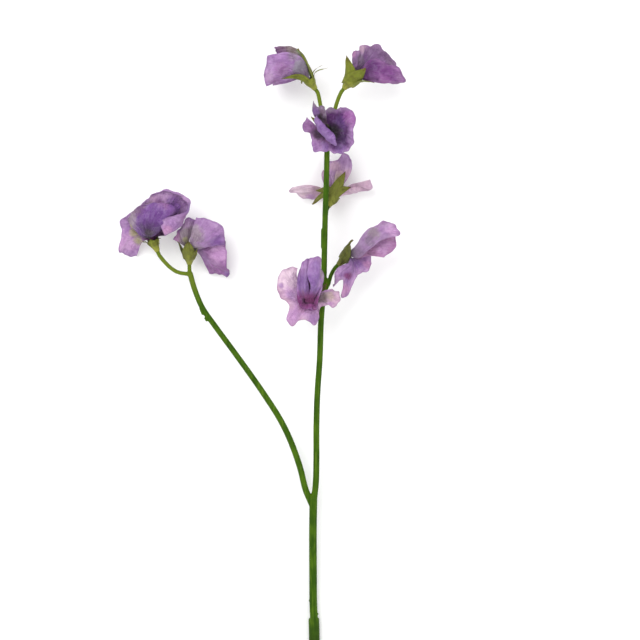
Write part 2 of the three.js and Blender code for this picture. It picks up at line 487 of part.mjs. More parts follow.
// A thin closed sheet round a grid of points, split alike on both faces.
// Where it would reach below the surface that the stem lies on, it is lifted onto it.
function sheet(rows, thick) {
  const across = rows[0].length - 1;
  const along = rows.length - 1;
  const faces = new THREE.PlaneGeometry(1, 1, across, along).index.array;
  const count = (across + 1) * (along + 1);
  const corners = new Float32Array(count * 6);
  rows.forEach((row, j) => row.forEach((middle, i) => {
    const half = facing(rows, j, i).multiplyScalar(thick / 2);
    const point = middle.clone();
    point.z = Math.max(point.z, Math.abs(half.z));
    const at = (j * (across + 1) + i) * 3;
    point.clone().add(half).toArray(corners, at);
    point.clone().sub(half).toArray(corners, at + count * 3);
  }));
  const index = [];
  for (let k = 0; k < faces.length; k += 3) {
    const [a, b, c] = faces.slice(k, k + 3);
    index.push(a, c, b, a + count, b + count, c + count);
  }
  const row = across + 1;
  const rim = [];
  for (let i = 0; i < across; i++) rim.push(i);
  for (let j = 0; j < along; j++) rim.push(j * row + across);
  for (let i = across; i > 0; i--) rim.push(along * row + i);
  for (let j = along; j > 0; j--) rim.push(j * row);
  rim.forEach((from, k) => {
    const to = rim[(k + 1) % rim.length];
    index.push(from, to + count, to, from, from + count, to + count);
  });
  const geometry = new THREE.BufferGeometry();
  geometry.setAttribute("position", new THREE.BufferAttribute(corners, 3));
  geometry.setIndex(index);
  return toManifold(geometry);
}

// ---------------------------------------------------------------- pieces of a bloom
// The bloom's own axes: forward out of the calyx, top towards the standard, side to its right.
function axesOf(bloom) {
  const forward = vector(bloom.aim).normalize();
  const side = vector(bloom.top).cross(forward).normalize();
  const top = forward.clone().cross(side);
  const foot = vector(bloom.foot);
  const place = (radius, angle, height) => foot.clone()
    .addScaledVector(forward, height)
    .addScaledVector(top, radius * Math.cos(angle))
    .addScaledVector(side, radius * Math.sin(angle));
  return { forward, side, top, foot, place };
}

// Ribs run from the claw through their own points to the rim, and the blade is drawn smoothly across them.
function petal(bloom, kind, ribs, hand = 1, half = kind.half) {
  const axes = axesOf(bloom);
  const lines = ribs.map((rib, k) => {
    const turn = (2 * k) / (ribs.length - 1) - 1;
    const angle = hand * THREE.MathUtils.degToRad(kind.angle + turn * half);
    const claw = [axes.place(kind.root, angle, CLAW.from), axes.place(kind.radius, angle, CLAW.to)];
    return smoothLine([...claw, ...rib.map(vector)]).getSpacedPoints(PETAL_ROWS);
  });
  const spans = ribs.length - 1;
  const columns = Math.max(COLUMNS.fewest, spans, Math.min(2 * spans, COLUMNS.most));
  const rows = [];
  for (let j = 0; j <= PETAL_ROWS; j++)
    rows.push(smoothLine(lines.map((line) => line[j])).getPoints(columns));
  return frilled(rows, kind.frill, spans);
}

// Waves that grow towards the rim, one for each rib.
function frilled(rows, frill, waves) {
  const across = rows[0].length - 1;
  const last = rows.length - 1;
  return rows.map((row, j) => row.map((point, i) => {
    const lift = frill * (j / last) ** 3 * Math.cos((2 * Math.PI * waves * i) / across);
    return point.clone().addScaledVector(facing(rows, j, i), lift);
  }));
}

// The cup's outer radius at a height above its foot.
function cupRadius(height) {
  const k = CUP.wall.findIndex(([, top]) => height <= top);
  const [[low, from], [high, to]] = CUP.wall.slice(k - 1, k + 1);
  return THREE.MathUtils.lerp(low, high, (height - from) / (to - from));
}

// A pointed lobe that starts in the cup's wall, follows it to the lip and bends to its tip.
function sepal(axes, [x, y, z, widest, seat]) {
  const end = new THREE.Vector3(x, y, z);
  const reach = end.clone().sub(axes.place(0, 0, SEPAL.lip));
  const towards = Math.atan2(reach.dot(axes.side), reach.dot(axes.top));
  const angle = seat === undefined ? towards : THREE.MathUtils.degToRad(seat);
  const [root, lip] = [SEPAL.from, SEPAL.lip].map((at) => axes.place(cupRadius(at) - SEPAL.sink, angle, at));
  const outward = axes.place(1, angle, 0).sub(axes.foot);
  const length = lip.distanceTo(end);
  const bend = lip.clone()
    .addScaledVector(axes.forward, SEPAL_BEND.forward * length)
    .addScaledVector(outward, SEPAL_BEND.outward * length);
  const blade = new THREE.QuadraticBezierCurve3(lip, bend, end).getPoints(3);
  const line = smoothLine([root, ...blade]);
  const across = outward.clone().cross(end.clone().sub(lip)).normalize();
  const rows = [];
  for (let j = 0; j <= SEPAL.rows; j++) {
    const share = j / SEPAL.rows;
    const half = SEPAL.tip + widest * Math.sin(Math.PI * THREE.MathUtils.lerp(SEPAL_BASE, 1, share));
    const middle = line.getPointAt(share);
    const row = [];
    for (let i = 0; i <= SEPAL.columns; i++) {
      const turn = (2 * i) / SEPAL.columns - 1;
      const dip = (-(1 - SEPAL_FLATTENS * share) * (turn * half) ** 2) / (2 * cupRadius(SEPAL.lip));
      row.push(middle.clone().addScaledVector(across, turn * half).addScaledVector(outward, dip));
    }
    rows.push(row);
  }
  return sheet(rows, SEPAL.thick);
}

// A cone of a cup that flares from its foot to its mouth, with its sepals.
function calyx(bloom) {
  const axes = axesOf(bloom);
  const mouth = CUP.wall.at(-1);
  const profile = [
    [0, 0], ...CUP.wall,
    [mouth[0] - CUP.thick, mouth[1]], [cupRadius(CUP.floor) - CUP.thick, CUP.floor], [0, CUP.floor],
  ];
  const lathe = new THREE.LatheGeometry(profile.map(([r, h]) => new THREE.Vector2(r, h)), CUP.sides);
  const basis = new THREE.Matrix4().makeBasis(axes.top, axes.forward, axes.side);
  lathe.applyMatrix4(basis.setPosition(axes.foot));
  let solid = toManifold(lathe);
  for (const tip of bloom.sepals) solid = solid.add(sepal(axes, tip));
  return solid;
}

// ---------------------------------------------------------------- the stem
function stem() {
  const armRadius = (share) => THREE.MathUtils.lerp(...STEM.arm, share);
  let solid = tube(SLEEVE, () => STEM.sleeve, STEM.sides)
    .add(tube(STALK, () => STEM.stalk, STEM.sides))
    .add(tube(MAIN_ARM, armRadius, STEM.sides))
    .add(tube(SIDE_ARM, armRadius, STEM.sides));
  for (const [root, tip, radius] of SPURS)
    solid = solid.add(tube([root, tip], (share) => radius * (1 - SPUR_TAPER * share), STEM.pedicelSides));
  for (const bloom of BLOOMS) {
    const axes = axesOf(bloom);
    const path = [...bloom.pedicel, axes.place(0, 0, -3).toArray(), axes.place(0, 0, -SEAT_GAP).toArray()];
    solid = solid.add(tube(path, () => STEM.pedicel, STEM.pedicelSides));
  }
  return solid;
}

// ---------------------------------------------------------------- assembly
// What is left of a solid beside its neighbours: its main body, with the scraps they cut off gone.
function besides(solid, neighbours) {
  let kept = solid;
  for (const neighbour of neighbours) kept = kept.subtract(neighbour);
  const bodies = kept.decompose();
  return bodies.reduce((largest, body) => (body.volume() > largest.volume() ? body : largest));
}

const spray = new THREE.Group();

function addPiece(name, solid, material) {
  const mesh = new THREE.Mesh(toGeometry(solid), material);
  mesh.name = name;
  spray.add(mesh);
}

addPiece("stem", stem(), STEM_GREEN);
for (const bloom of BLOOMS) {
  const petals = [
    ["standard", petal(bloom, STANDARD, bloom.standard, 1, bloom.standardHalf), PETAL_LILAC],
    ["wing_right", petal(bloom, WING, bloom.wingRight), PETAL_PURPLE],
    ["wing_left", petal(bloom, WING, bloom.wingLeft, -1), PETAL_PURPLE],
    ["keel", petal(bloom, KEEL, bloom.keel), PETAL_PALE],
  ];
  const round = [];
  for (const [name, rows, material] of petals) {
    addPiece(`${bloom.name}_${name}`, besides(sheet(rows, PETAL_THICK), round), material);
    round.push(sheet(rows, PETAL_THICK + 2 * SEAT_GAP));
  }
  addPiece(`${bloom.name}_calyx`, besides(calyx(bloom), round), CALYX_GREEN);
}

export default spray;
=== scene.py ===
"""A sweet pea flower stem, cut and laid on its side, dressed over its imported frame.

The spray is described in millimetres, as its frame is: +Y up the stem, +Z up from the surface that it lies on.
"""

import math

import bmesh
import bpy
from mathutils import Matrix, Vector, noise


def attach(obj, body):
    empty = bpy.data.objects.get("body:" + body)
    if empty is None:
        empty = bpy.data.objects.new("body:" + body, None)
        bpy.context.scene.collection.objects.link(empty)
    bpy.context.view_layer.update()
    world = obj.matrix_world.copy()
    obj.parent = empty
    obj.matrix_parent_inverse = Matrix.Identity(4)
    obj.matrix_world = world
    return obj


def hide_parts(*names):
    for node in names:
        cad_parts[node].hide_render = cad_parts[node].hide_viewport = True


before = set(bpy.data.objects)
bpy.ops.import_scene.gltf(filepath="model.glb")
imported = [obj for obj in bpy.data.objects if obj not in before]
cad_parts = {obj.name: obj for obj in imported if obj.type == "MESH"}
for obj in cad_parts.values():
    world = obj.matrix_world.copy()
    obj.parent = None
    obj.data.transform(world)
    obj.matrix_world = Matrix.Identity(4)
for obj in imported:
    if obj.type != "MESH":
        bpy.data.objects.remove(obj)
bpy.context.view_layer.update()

MM = 0.001
ORIGIN = Vector((0, 0, 0))
UP = Vector((0, 0, 1))
WELD = 0.001  # points closer than this are one, in millimetres
TINY = 1e-9  # keeps a division clear of zero
CURVE_STEPS = 120  # how finely a curve is measured before its points are spaced out

# ---------------------------------------------------------------- driving dimensions, in millimetres
# The stem's radii, an arm's from its low end to its high end, and how finely its tubes and its skin are made.
STEM = {"sleeve": 3.6, "stalk": 2.62, "arm": (2.12, 1.82), "pedicel": 1.35}
TUBE = {"sides": 16, "ring": 3.0}
SKIN = {"voxel": 0.42, "passes": 3, "factor": 0.5}
SPUR_TAPER = 0.75
# A pedicel comes straight into its bloom from this far below the cup's foot, and its end runs this far
# under the foot before the skin draws it back.
SEAT = {"below": 3, "reach": 0.35}

# The cup's wall as radius and height. Below the waist a slim or stout cup runs back to the common foot.
CUP = {"wall": [(1.6, 0), (2.5, 2.2), (4.3, 5.2), (4.9, 8)], "waist": 3.0, "thick": 0.45, "floor": 4.7}
CUP_MESH = {"around": 48, "up": 18}
CUP_SHADE = {"mouth": 0.3, "sepal_root": 0.2}  # where they stand on the green's way from foot to tip
SEPALS = 5
SEPAL = {"from": 4, "lip": 7.6, "tip": 0.12, "thick": 0.4, "columns": 12, "rows": 22, "bend_points": 3}
SEPAL_LAPS = [0.065, 0.195, 0.325]  # how far a sepal stands off its neighbours, in turn
SEPAL_BEND = {"forward": 0.38, "outward": 0.1}  # shares of its length beyond the lip
SEPAL_FLATTENS = 0.6  # the share of its trough that it has lost at the tip
SEPAL_BASE = 0.3  # how far round the sine of its width it starts, in half turns
MIDRIB = {"depth": 0.3, "width": 0.55, "fades": 3}
SEPAL_RIPPLE = {"height": 1.3, "along": 4, "across": 2}

PETAL = {"thick": 0.36, "rows": 44, "columns_per_rib": 10, "fewest_columns": 30}

# A petal's claw stands in the calyx's cup on an arc: its radius at the claw's two heights, and its middle and
# half width as angles from the bloom's top. The left wing is the right one's mirror image.
CLAW = {"from": 5.1, "to": 9}
STANDARD = {"root": 2.9, "radius": 3.5, "angle": 0, "half": 50, "frill": 0.35}
WING = {"root": 1.9, "radius": 2.4, "angle": 94, "half": 36, "frill": 0.25}
KEEL = {"root": 0.9, "radius": 1.3, "angle": 180, "half": 65, "frill": 0}

# The petals of a bloom: kind, hand, seed and slot.
PETALS = {
    "standard": (STANDARD, 1, 0.1, "petal_lilac"),
    "wing_right": (WING, 1, 0.3, "petal_purple"),
    "wing_left": (WING, -1, 0.5, "petal_purple"),
    "keel": (KEEL, 1, 0.7, "petal_pale"),
}

# How a petal's cloth moves: folds from claw to rim, a ruffled rim, crumples all over, an uneven edge.
# It lies still up to a share of its length, and a rim's power says how far in from the edge it starts.
STILL = 0.25
FOLD = {"height": 1.1, "per_rib": 1.7, "drift": 1.3, "seed": 9.1}
RUFFLE = {"height": 1.3, "per_rib": 0.9, "drift": 0.5, "seed": 4.3, "rim": 3}
CRUMPLES = [(0.8, 5.5), (0.34, 2.2)]  # height and size
CRUMPLE_SEED = Vector((7.3, 3.1, 5.7))
RAGGED = {"reach": 0.7, "size": 3.4, "rim": 8}

# The studio, in metres and watts. The camera looks straight down on a point of the spray, on a frame that wide.
CAMERA = {"over": (0.03835, 0.021, 0.02), "width": 0.416, "lens": 100.0, "sensor": 36.0, "sees_to": 10}
FLOOR_HALF = 6.0
AIR = 0.95
LIGHTS = [
    ("key_softbox", (-0.55, 0.75, 1.5), 1.2, 15.0),
    ("fill_softbox", (0.9, -0.5, 1.3), 1.2, 5.0),
]

# Centre lines of the stem, from the cut end up, and the leaf scars and stubs on it: root, tip and radius.
SLEEVE = [[34.8, -200, 3.6], [34.6, -188, 3.75], [34.3, -175.5, 4.1]]
STALK = [
    [34.7, -198, 3.9], [34.6, -180, 4.6], [34, -168, 5.2], [33.8, -145, 6.8], [33.7, -120, 8.6], [34, -96, 10.4],
]
MAIN_ARM = [
    [34, -100, 10.1], [35.6, -86, 11.4], [36, -70, 12.6], [36, -50, 14.2], [36.6, -28, 16], [38.2, -4, 18],
    [39, 20, 20], [40.6, 42, 21.6], [41.2, 65, 23], [41.7, 88, 24.4], [42.6, 116, 25.6], [43, 138, 26],
    [43.2, 147, 26],
]
SIDE_ARM = [
    [34, -102, 10], [28.9, -90, 10.6], [25.4, -76, 11], [19, -58, 11.4], [12.2, -44, 11.6], [2, -28, 11.8],
    [-8.4, -13, 12], [-20, 3, 12.2], [-31, 18, 12.3], [-38.6, 29, 12.3], [-44, 42, 12.2], [-46.8, 52, 12],
]
SPURS = [
    [[33.5, -165, 5.4], [30.9, -163.4, 5.7], 1.3],
    [[34.2, -174, 5], [37.6, -172.4, 5.3], 1.3],
    [[40.4, 68, 23], [39.3, 80, 24.4], 1.6],
    [[-35.4, 20.4, 12.3], [-37.6, 22.4, 12.7], 1],
    [[-38, 24.6, 12.3], [-40.6, 28.6, 12.9], 1.1],
    [[-44.3, 40, 12.2], [-41.9, 41.4, 12.6], 1],
]

# ---------------------------------------------------------------- the blooms
# Each bloom has the foot of its calyx, the way it points, the side that its standard is on, its pedicel's
# points and its sepals: the tip and half width of each and, for one that leans aside, the angle of its seat.
# A petal is a list of ribs, each a list of points from claw to rim.
LEFT_OUTER = {
    "name": "left_outer",
    "girth": 0.8,
    "green": "calyx_yellow_leaf",
    "foot": [-67.7, 65.8, 14.8],
    "aim": [-0.38, 0.9, 0.2],
    "top": [0, 0.2, -1],
    "pedicel": [[-46.8, 51, 12], [-54.6, 52.2, 12.5], [-59.8, 55.5, 13], [-64.6, 60.6, 13.8]],
    "sepals": [
        [-72, 73.5, 22, 2.2], [-65.8, 74, 17, 2.4], [-77.5, 72, 17, 2.4], [-66, 77, 8, 2.4], [-76, 77, 7, 2.4],
    ],
    "standard_half": 75,
    "standard": [
        [[-77, 72.5, 14], [-79.5, 70, 9], [-82, 64, 3]],
        [[-78.5, 73.5, 14], [-83.5, 70.5, 9], [-87, 63, -1]],
        [[-79.5, 75, 14], [-87, 73.5, 13], [-93.6, 66.5, 6]],
        [[-80, 77, 14], [-86, 79.5, 16], [-91, 78.5, 14]],
        [[-79.5, 79, 13], [-86, 84, 17], [-92, 85.5, 15]],
        [[-78, 80.5, 13], [-82.5, 86.5, 17], [-87.5, 89, 17]],
        [[-75, 81.5, 12], [-77, 89.5, 19], [-79, 94.3, 21]],
        [[-71, 82.5, 12.5], [-73, 92, 23], [-74.5, 98.5, 26]],
        [[-68.5, 83, 12.5], [-67.5, 94, 25], [-66.5, 104, 27], [-66.3, 103, 28.2]],
        [[-66, 82.5, 12.5], [-61, 94, 24], [-56.5, 104.6, 27], [-57, 103, 29]],
        [[-64.5, 81, 12.5], [-56, 92.5, 21.5], [-47.8, 101.3, 26], [-49.3, 99.4, 30]],
        [[-63.7, 79.5, 12.5], [-55, 87.5, 20], [-45.5, 93.5, 27], [-47.6, 92.8, 31]],
        [[-63.8, 78, 13], [-55, 84.5, 17], [-48.6, 86.3, 26], [-50, 87.5, 31.5], [-54, 88.5, 33.5]],
        [[-64.5, 76.5, 14], [-57.5, 79.5, 19], [-53, 80.3, 27], [-55, 84, 33.5], [-59.5, 87, 35]],
        [[-66, 75.8, 15.5], [-62.5, 75.6, 21], [-62, 75.4, 28], [-63.5, 80, 33.5], [-65.5, 84.8, 34.5]],
    ],
    "wing_right": [
        [[-66.5, 79, 19], [-60, 84.5, 23.5], [-54.5, 88, 26.5]],
        [[-66.8, 80, 21], [-59, 88, 25.5], [-52.5, 92.2, 28.5]],
        [[-67.2, 80.5, 23], [-58.5, 90.5, 27], [-51.8, 95, 29]],
        [[-68.2, 80.5, 24], [-61, 91, 28], [-55.5, 96.5, 29.5]],
        [[-69.5, 80.5, 24], [-65, 90, 28.5], [-60.5, 95.5, 29.5]],
    ],
    "wing_left": [
        [[-77, 75, 18], [-80.5, 77.5, 20], [-84.5, 81.5, 21]],
        [[-76.5, 76, 22], [-81.5, 80.5, 26], [-86.5, 86.5, 24]],
        [[-75.5, 76.5, 25], [-80, 85, 31], [-83, 91, 27]],
        [[-74.5, 76.8, 27.5], [-76, 87, 34.5], [-77, 94.8, 30]],
        [[-73.3, 77, 29], [-71, 88, 37], [-69.5, 96, 32]],
        [[-72, 77, 29.5], [-66, 87, 37], [-61.5, 96, 32.5]],
        [[-70.7, 76.8, 29], [-62.5, 85, 35.5], [-55, 93.5, 32]],
        [[-69.4, 76.3, 27.5], [-62, 82, 31.5], [-53.6, 88, 29.5]],
        [[-68.7, 75.8, 25], [-63.5, 79.5, 27.5], [-57, 84.5, 28]],
    ],
    "keel": [
        [[-70, 77, 20.5], [-66.5, 83, 23.5], [-63, 88, 26]],
        [[-71, 77, 23], [-68.5, 85, 27.5], [-65.5, 91, 29]],
        [[-73.3, 77, 21], [-73, 84, 24], [-73, 90, 25.5]],
    ],
}

LEFT_INNER = {
    "name": "left_inner",
    "green": "calyx_olive_leaf",
    "foot": [-47.1, 57.4, 12.2],
    "aim": [0.02, 0.95, 0.3],
    "top": [0.8, -0.1, -0.6],
    "pedicel": [[-46.8, 50, 12]],
    "sepals": [
        [-47, 72.3, 25, 4.3], [-54.4, 73, 16.5, 2.9], [-41.2, 67.5, 21, 2.4],
        [-50, 69, 5.5, 2.6], [-46, 69, 4, 2.6],
    ],
    "standard": [
        [[-42.5, 71, 12], [-33, 78, 9], [-27, 80.5, 9]],
        [[-41.5, 69.5, 12.5], [-31.5, 74, 12], [-24, 74.5, 13]],
        [[-40.5, 68.3, 13.5], [-31, 69.5, 16], [-23, 68.5, 17]],
        [[-40, 67.3, 14], [-31, 65.5, 17], [-22.3, 62, 17]],
        [[-39.8, 66.5, 14], [-31.5, 61, 16], [-22.5, 55, 14]],
        [[-39.8, 65.8, 13.5], [-32.5, 58.5, 13], [-20.5, 52.3, 10]],
        [[-40, 65.2, 13], [-34, 57.5, 11], [-22.3, 49.3, 7]],
        [[-40.3, 64.7, 12.5], [-35.5, 57.5, 9.5], [-28, 50.8, 5]],
        [[-40.8, 64.3, 12], [-37.6, 58.5, 9], [-34.6, 51.6, 4]],
    ],
    "wing_right": [
        [[-40.3, 67, 17.5], [-33, 68.6, 20.5], [-23.8, 69.6, 21]],
        [[-40.8, 68, 20], [-32.5, 71.8, 24.5], [-23.3, 75, 23.5]],
        [[-41.8, 69, 21.5], [-33, 75.5, 27.5], [-25, 81.8, 25.5]],
        [[-43, 70, 22], [-37, 78, 28.5], [-30, 84.7, 26.5]],
        [[-44.3, 70.7, 22], [-40.5, 78.5, 28], [-35.5, 86.3, 26.5]],
        [[-46.2, 71.5, 21.5], [-44.8, 78.5, 26], [-42, 87.3, 25.5]],
    ],
    "wing_left": [
        [[-50.5, 69.4, 16], [-53.5, 71.5, 16.5], [-57.3, 73.6, 15.5]],
        [[-50.7, 70.8, 17.5], [-53.8, 75, 19.5], [-54.5, 78.8, 19]],
        [[-50, 71.8, 18.5], [-52.3, 77.5, 21], [-51, 82.5, 21]],
        [[-49.2, 72, 19], [-50.3, 79, 22.5], [-49.2, 86.3, 21.5]],
        [[-48.3, 72, 18.5], [-47.8, 79, 21.5], [-46, 87.6, 21]],
        [[-47.3, 71.5, 17], [-44.3, 78, 17.5], [-39.5, 84.5, 18]],
    ],
    "keel": [
        [[-43.5, 67.1, 15], [-39.6, 71, 16], [-35.1, 74.3, 16]],
        [[-44.8, 68.4, 17], [-41.6, 73, 19], [-37, 77.5, 19]],
        [[-46.1, 68.4, 15], [-43.5, 73, 16], [-39.6, 77.5, 16]],
    ],
}

TOP_LEFT = {
    "name": "top_left",
    "girth": 0.8,
    "green": "calyx_yellow_leaf",
    "foot": [35.4, 170.4, 24.5],
    "aim": [-0.55, 0.78, 0.3],
    "top": [0.8, 0.6, 0],
    "pedicel": [[43.3, 146, 26], [40.3, 152.3, 26], [38.6, 160.1, 25.5], [37.6, 165.5, 25]],
    "sepals": [
        [13.7, 175.2, 40, 2.1, 118], [24, 194.6, 38.5, 2, 30], [43, 183.2, 30, 1.7],
        [40, 186.4, 22, 0.8], [26.5, 175.6, 12.5, 2.2],
    ],
    "standard": [
        [[29.3, 184.5, 17], [24.5, 190.5, 11], [17.5, 193, 8], [10.5, 191.5, 8]],
        [[30, 187.5, 21], [25.5, 193.5, 17], [18, 196.3, 14], [9.7, 196, 14]],
        [[30.3, 188, 25], [26, 194.5, 25], [18.5, 198, 24], [9, 197.5, 23]],
        [[30, 187.5, 28.5], [25.8, 193.8, 31], [18.5, 197, 33], [8.9, 196, 32]],
        [[29.4, 186, 31], [25.3, 191.8, 34.5], [18, 194.5, 36], [11, 194, 35]],
        [[29, 184, 31.5], [24.5, 188, 34.5], [17.5, 189.5, 35.5], [12, 190, 34.5]],
        [[28.5, 182, 31.5], [24, 184, 34.5], [18.5, 185, 35], [14.5, 186.5, 34]],
    ],
    "wing_right": [
        [[30, 183.8, 32.5], [26.2, 189.3, 37.5], [18, 192.3, 39], [5.5, 190.8, 37]],
        [[28, 183, 34], [20, 187, 40], [12, 187.8, 41], [4.2, 187, 38]],
        [[26.5, 181.5, 34], [17, 182.8, 40.5], [9, 182.3, 41], [3, 181.3, 38]],
        [[25.7, 179.6, 32.5], [15, 178.5, 38.5], [8, 177, 39.5], [2.6, 176.8, 36.5]],
        [[26, 177.2, 28.5], [17.5, 175, 33], [9, 173, 35], [4.4, 171.2, 34]],
    ],
    "wing_left": [
        [[25.5, 185.5, 19], [19, 189, 13], [10, 190, 14]],
        [[24.8, 181.5, 17], [14.5, 183, 10], [5, 183, 13]],
        [[25.6, 178.3, 18], [16.5, 176, 13], [7.5, 174, 14]],
    ],
    "keel": [
        [[26, 180.4, 26.5], [18.9, 180, 27.5], [11.7, 179.5, 27]],
        [[25.6, 179, 24.5], [18.9, 178, 24], [11.7, 177.5, 24]],
        [[26, 180.5, 22.8], [18.9, 180.5, 20.5], [11.7, 180, 21]],
    ],
}

TOP_RIGHT = {
    "name": "top_right",
    "green": "calyx_yellow_leaf",
    "foot": [53.8, 170.8, 24.3],
    "aim": [0.6, 0.75, 0.28],
    "top": [-0.78, 0.62, 0],
    "pedicel": [[43.3, 146, 26], [46.8, 152.3, 26], [48.8, 160.1, 25.5], [50.8, 165.8, 24.8]],
    "sepals": [
        [55.2, 190.6, 36, 4, -70], [67.6, 182.3, 38, 5], [72.8, 173.8, 34, 2.6],
        [57, 184, 13, 2.4], [66, 176.5, 13, 2.4],
    ],
    "standard": [
        [[59.3, 184.5, 29.5], [58.5, 189, 34], [58.2, 191.8, 36]],
        [[61, 185.5, 29], [60.8, 190.3, 32.5], [60.8, 193.8, 35]],
        [[62.7, 186.3, 27.5], [62.9, 191, 28.5], [63.3, 194, 31.5]],
        [[64.3, 186.8, 25.5], [65.3, 193.5, 28], [66, 197.7, 32]],
        [[66.2, 187, 23.5], [69, 194.8, 24], [70.3, 197.6, 28]],
        [[67.6, 186.8, 21.5], [73, 194, 22.5], [75.3, 198.1, 30]],
        [[68.8, 186, 20], [77, 192.5, 20.5], [80.3, 195, 29]],
        [[69.8, 185, 18.8], [80, 190, 19.5], [85.3, 190.5, 28.5]],
        [[70.5, 183.5, 18], [81.5, 186.3, 18.5], [88.6, 185, 27]],
        [[70.8, 182, 18], [82, 183, 17.5], [89, 181.5, 23]],
    ],
    "wing_right": [
        [[65.6, 183, 25], [72, 187.5, 27], [78.5, 188, 27]],
        [[67, 181, 25], [77.3, 184.5, 27], [86.5, 184.3, 27]],
        [[67, 178.5, 24], [77.3, 179, 26], [88, 178.5, 26]],
    ],
    "wing_left": [
        [[64.8, 182.5, 30], [69, 187.3, 33], [74.5, 189.5, 33.5]],
        [[65.5, 181.5, 31], [72, 185.3, 35], [80.5, 186, 34.5]],
        [[65.8, 180.2, 31.5], [75, 182.3, 36.5], [88.3, 183.3, 34.5]],
        [[65.8, 179, 31.5], [77, 179.2, 37], [91, 179, 35.5]],
        [[65.5, 177.8, 31], [78, 176.2, 36], [93.6, 174.2, 34.5]],
        [[64.8, 176.8, 30], [77, 174.5, 33.5], [88, 172.9, 32.5]],
        [[64, 176.2, 28.5], [72.5, 174.2, 30.5], [80, 173.3, 31]],
    ],
    "keel": [
        [[66, 180.5, 27], [73, 181, 29.5], [80, 182, 30.5]],
        [[66, 179, 27.5], [73, 178.3, 30.5], [80, 178, 31.5]],
        [[66, 177.7, 27], [73, 176.5, 28.5], [80, 176, 29]],
    ],
}

UPPER_FRONT = {
    "name": "upper_front",
    "green": "calyx_olive_leaf",
    "foot": [42.4, 139.5, 29.5],
    "aim": [0.1, 0.15, 0.98],
    "top": [0.9, 0.3, -0.1],
    "pedicel": [[43.2, 139.5, 26]],
    "sepals": [
        [32.8, 150.8, 37.5, 2.2], [52, 146, 36, 2.4], [51, 133, 35, 2.4], [42, 130, 35, 2.4], [34, 136, 36, 2.4],
    ],
    "standard": [
        [[43.2, 146.3, 40], [41.5, 150.5, 42], [41, 154, 43]],
        [[45, 147.2, 41], [45.2, 152.5, 44.5], [45.3, 156.3, 46.5]],
        [[46.8, 147.2, 41], [48.3, 152.3, 44], [48.8, 154.8, 45.5]],
        [[48.5, 146.8, 41], [51.3, 152.8, 46], [52.3, 156.4, 48.5]],
        [[49.8, 145.8, 41], [55, 151.2, 47.5], [57.8, 154.4, 49.5]],
        [[50.6, 144.3, 41], [57, 147.8, 48.5], [61, 149.2, 49.5]],
        [[51, 142.3, 41], [56, 142.8, 46.5], [59.5, 142.6, 49]],
        [[51, 140.3, 40.5], [56.5, 138.4, 46], [60, 137, 49]],
        [[50.6, 138.3, 40.5], [56, 134.3, 45.5], [58.8, 131, 48.5]],
        [[49.5, 136.8, 40], [52.5, 131.3, 45], [54, 127.2, 47.5]],
        [[48, 136, 39.8], [49.3, 131, 43.5], [50, 126.3, 46.5]],
        [[45.7, 135.6, 39.7], [44.8, 131, 43.2], [43.6, 128.9, 44.5]],
    ],
    "wing_right": [
        [[45.2, 136, 38], [46.4, 133, 40], [46.8, 129.5, 40.6]],
        [[42.3, 136, 40], [40.5, 133, 43], [38.5, 128.2, 44]],
        [[40.3, 136.5, 40.5], [37.3, 132.5, 43.5], [34, 128.8, 44]],
        [[38.8, 137.6, 40.7], [35.3, 135, 43], [33.2, 132.8, 43]],
        [[37.6, 139.3, 40.7], [34, 139, 42], [32, 139.5, 41.5]],
        [[37, 140.8, 40.7], [32.3, 141.3, 42], [28, 141.7, 42]],
        [[36.6, 142.5, 40.7], [31.5, 145, 42.5], [27.6, 145.5, 42.5]],
        [[36.6, 144.3, 40.7], [32.5, 148, 42], [29.8, 150.5, 41.5]],
    ],
    "wing_left": [
        [[42.8, 147, 43.5], [42.3, 150.5, 47], [41.8, 154, 48.5]],
        [[41.7, 147.5, 44.5], [40.5, 152, 49.5], [40, 156.8, 50]],
        [[40.3, 147.5, 44], [38, 151.7, 47.5], [37.2, 156, 48]],
        [[39, 147.3, 43], [35.8, 152.3, 47.5], [34.2, 159.8, 50]],
        [[38, 146.5, 42], [34.8, 150.3, 44.5], [33.2, 154.2, 47]],
    ],
    "keel": [
        [[43, 136.5, 43], [47, 131.8, 47.5], [49, 131.5, 50], [49.3, 133.5, 51.5]],
        [[42, 136.8, 43.5], [43.5, 134.3, 48], [46, 135.3, 51], [47.8, 137, 52.5]],
        [[41, 137.5, 44], [40.3, 137.5, 48], [42.3, 139.3, 51.5], [44.5, 140.8, 53]],
        [[40, 138.8, 44], [37.5, 140.8, 48], [39, 142.5, 51.5], [41, 144.5, 53]],
        [[39.3, 140.6, 43.5], [35.3, 144.5, 47.5], [36.2, 146, 50.5], [38, 147.8, 52]],
        [[39, 142.5, 43], [34.3, 148, 46.5], [35, 149.3, 49], [36.3, 150.3, 50.5]],
    ],
}

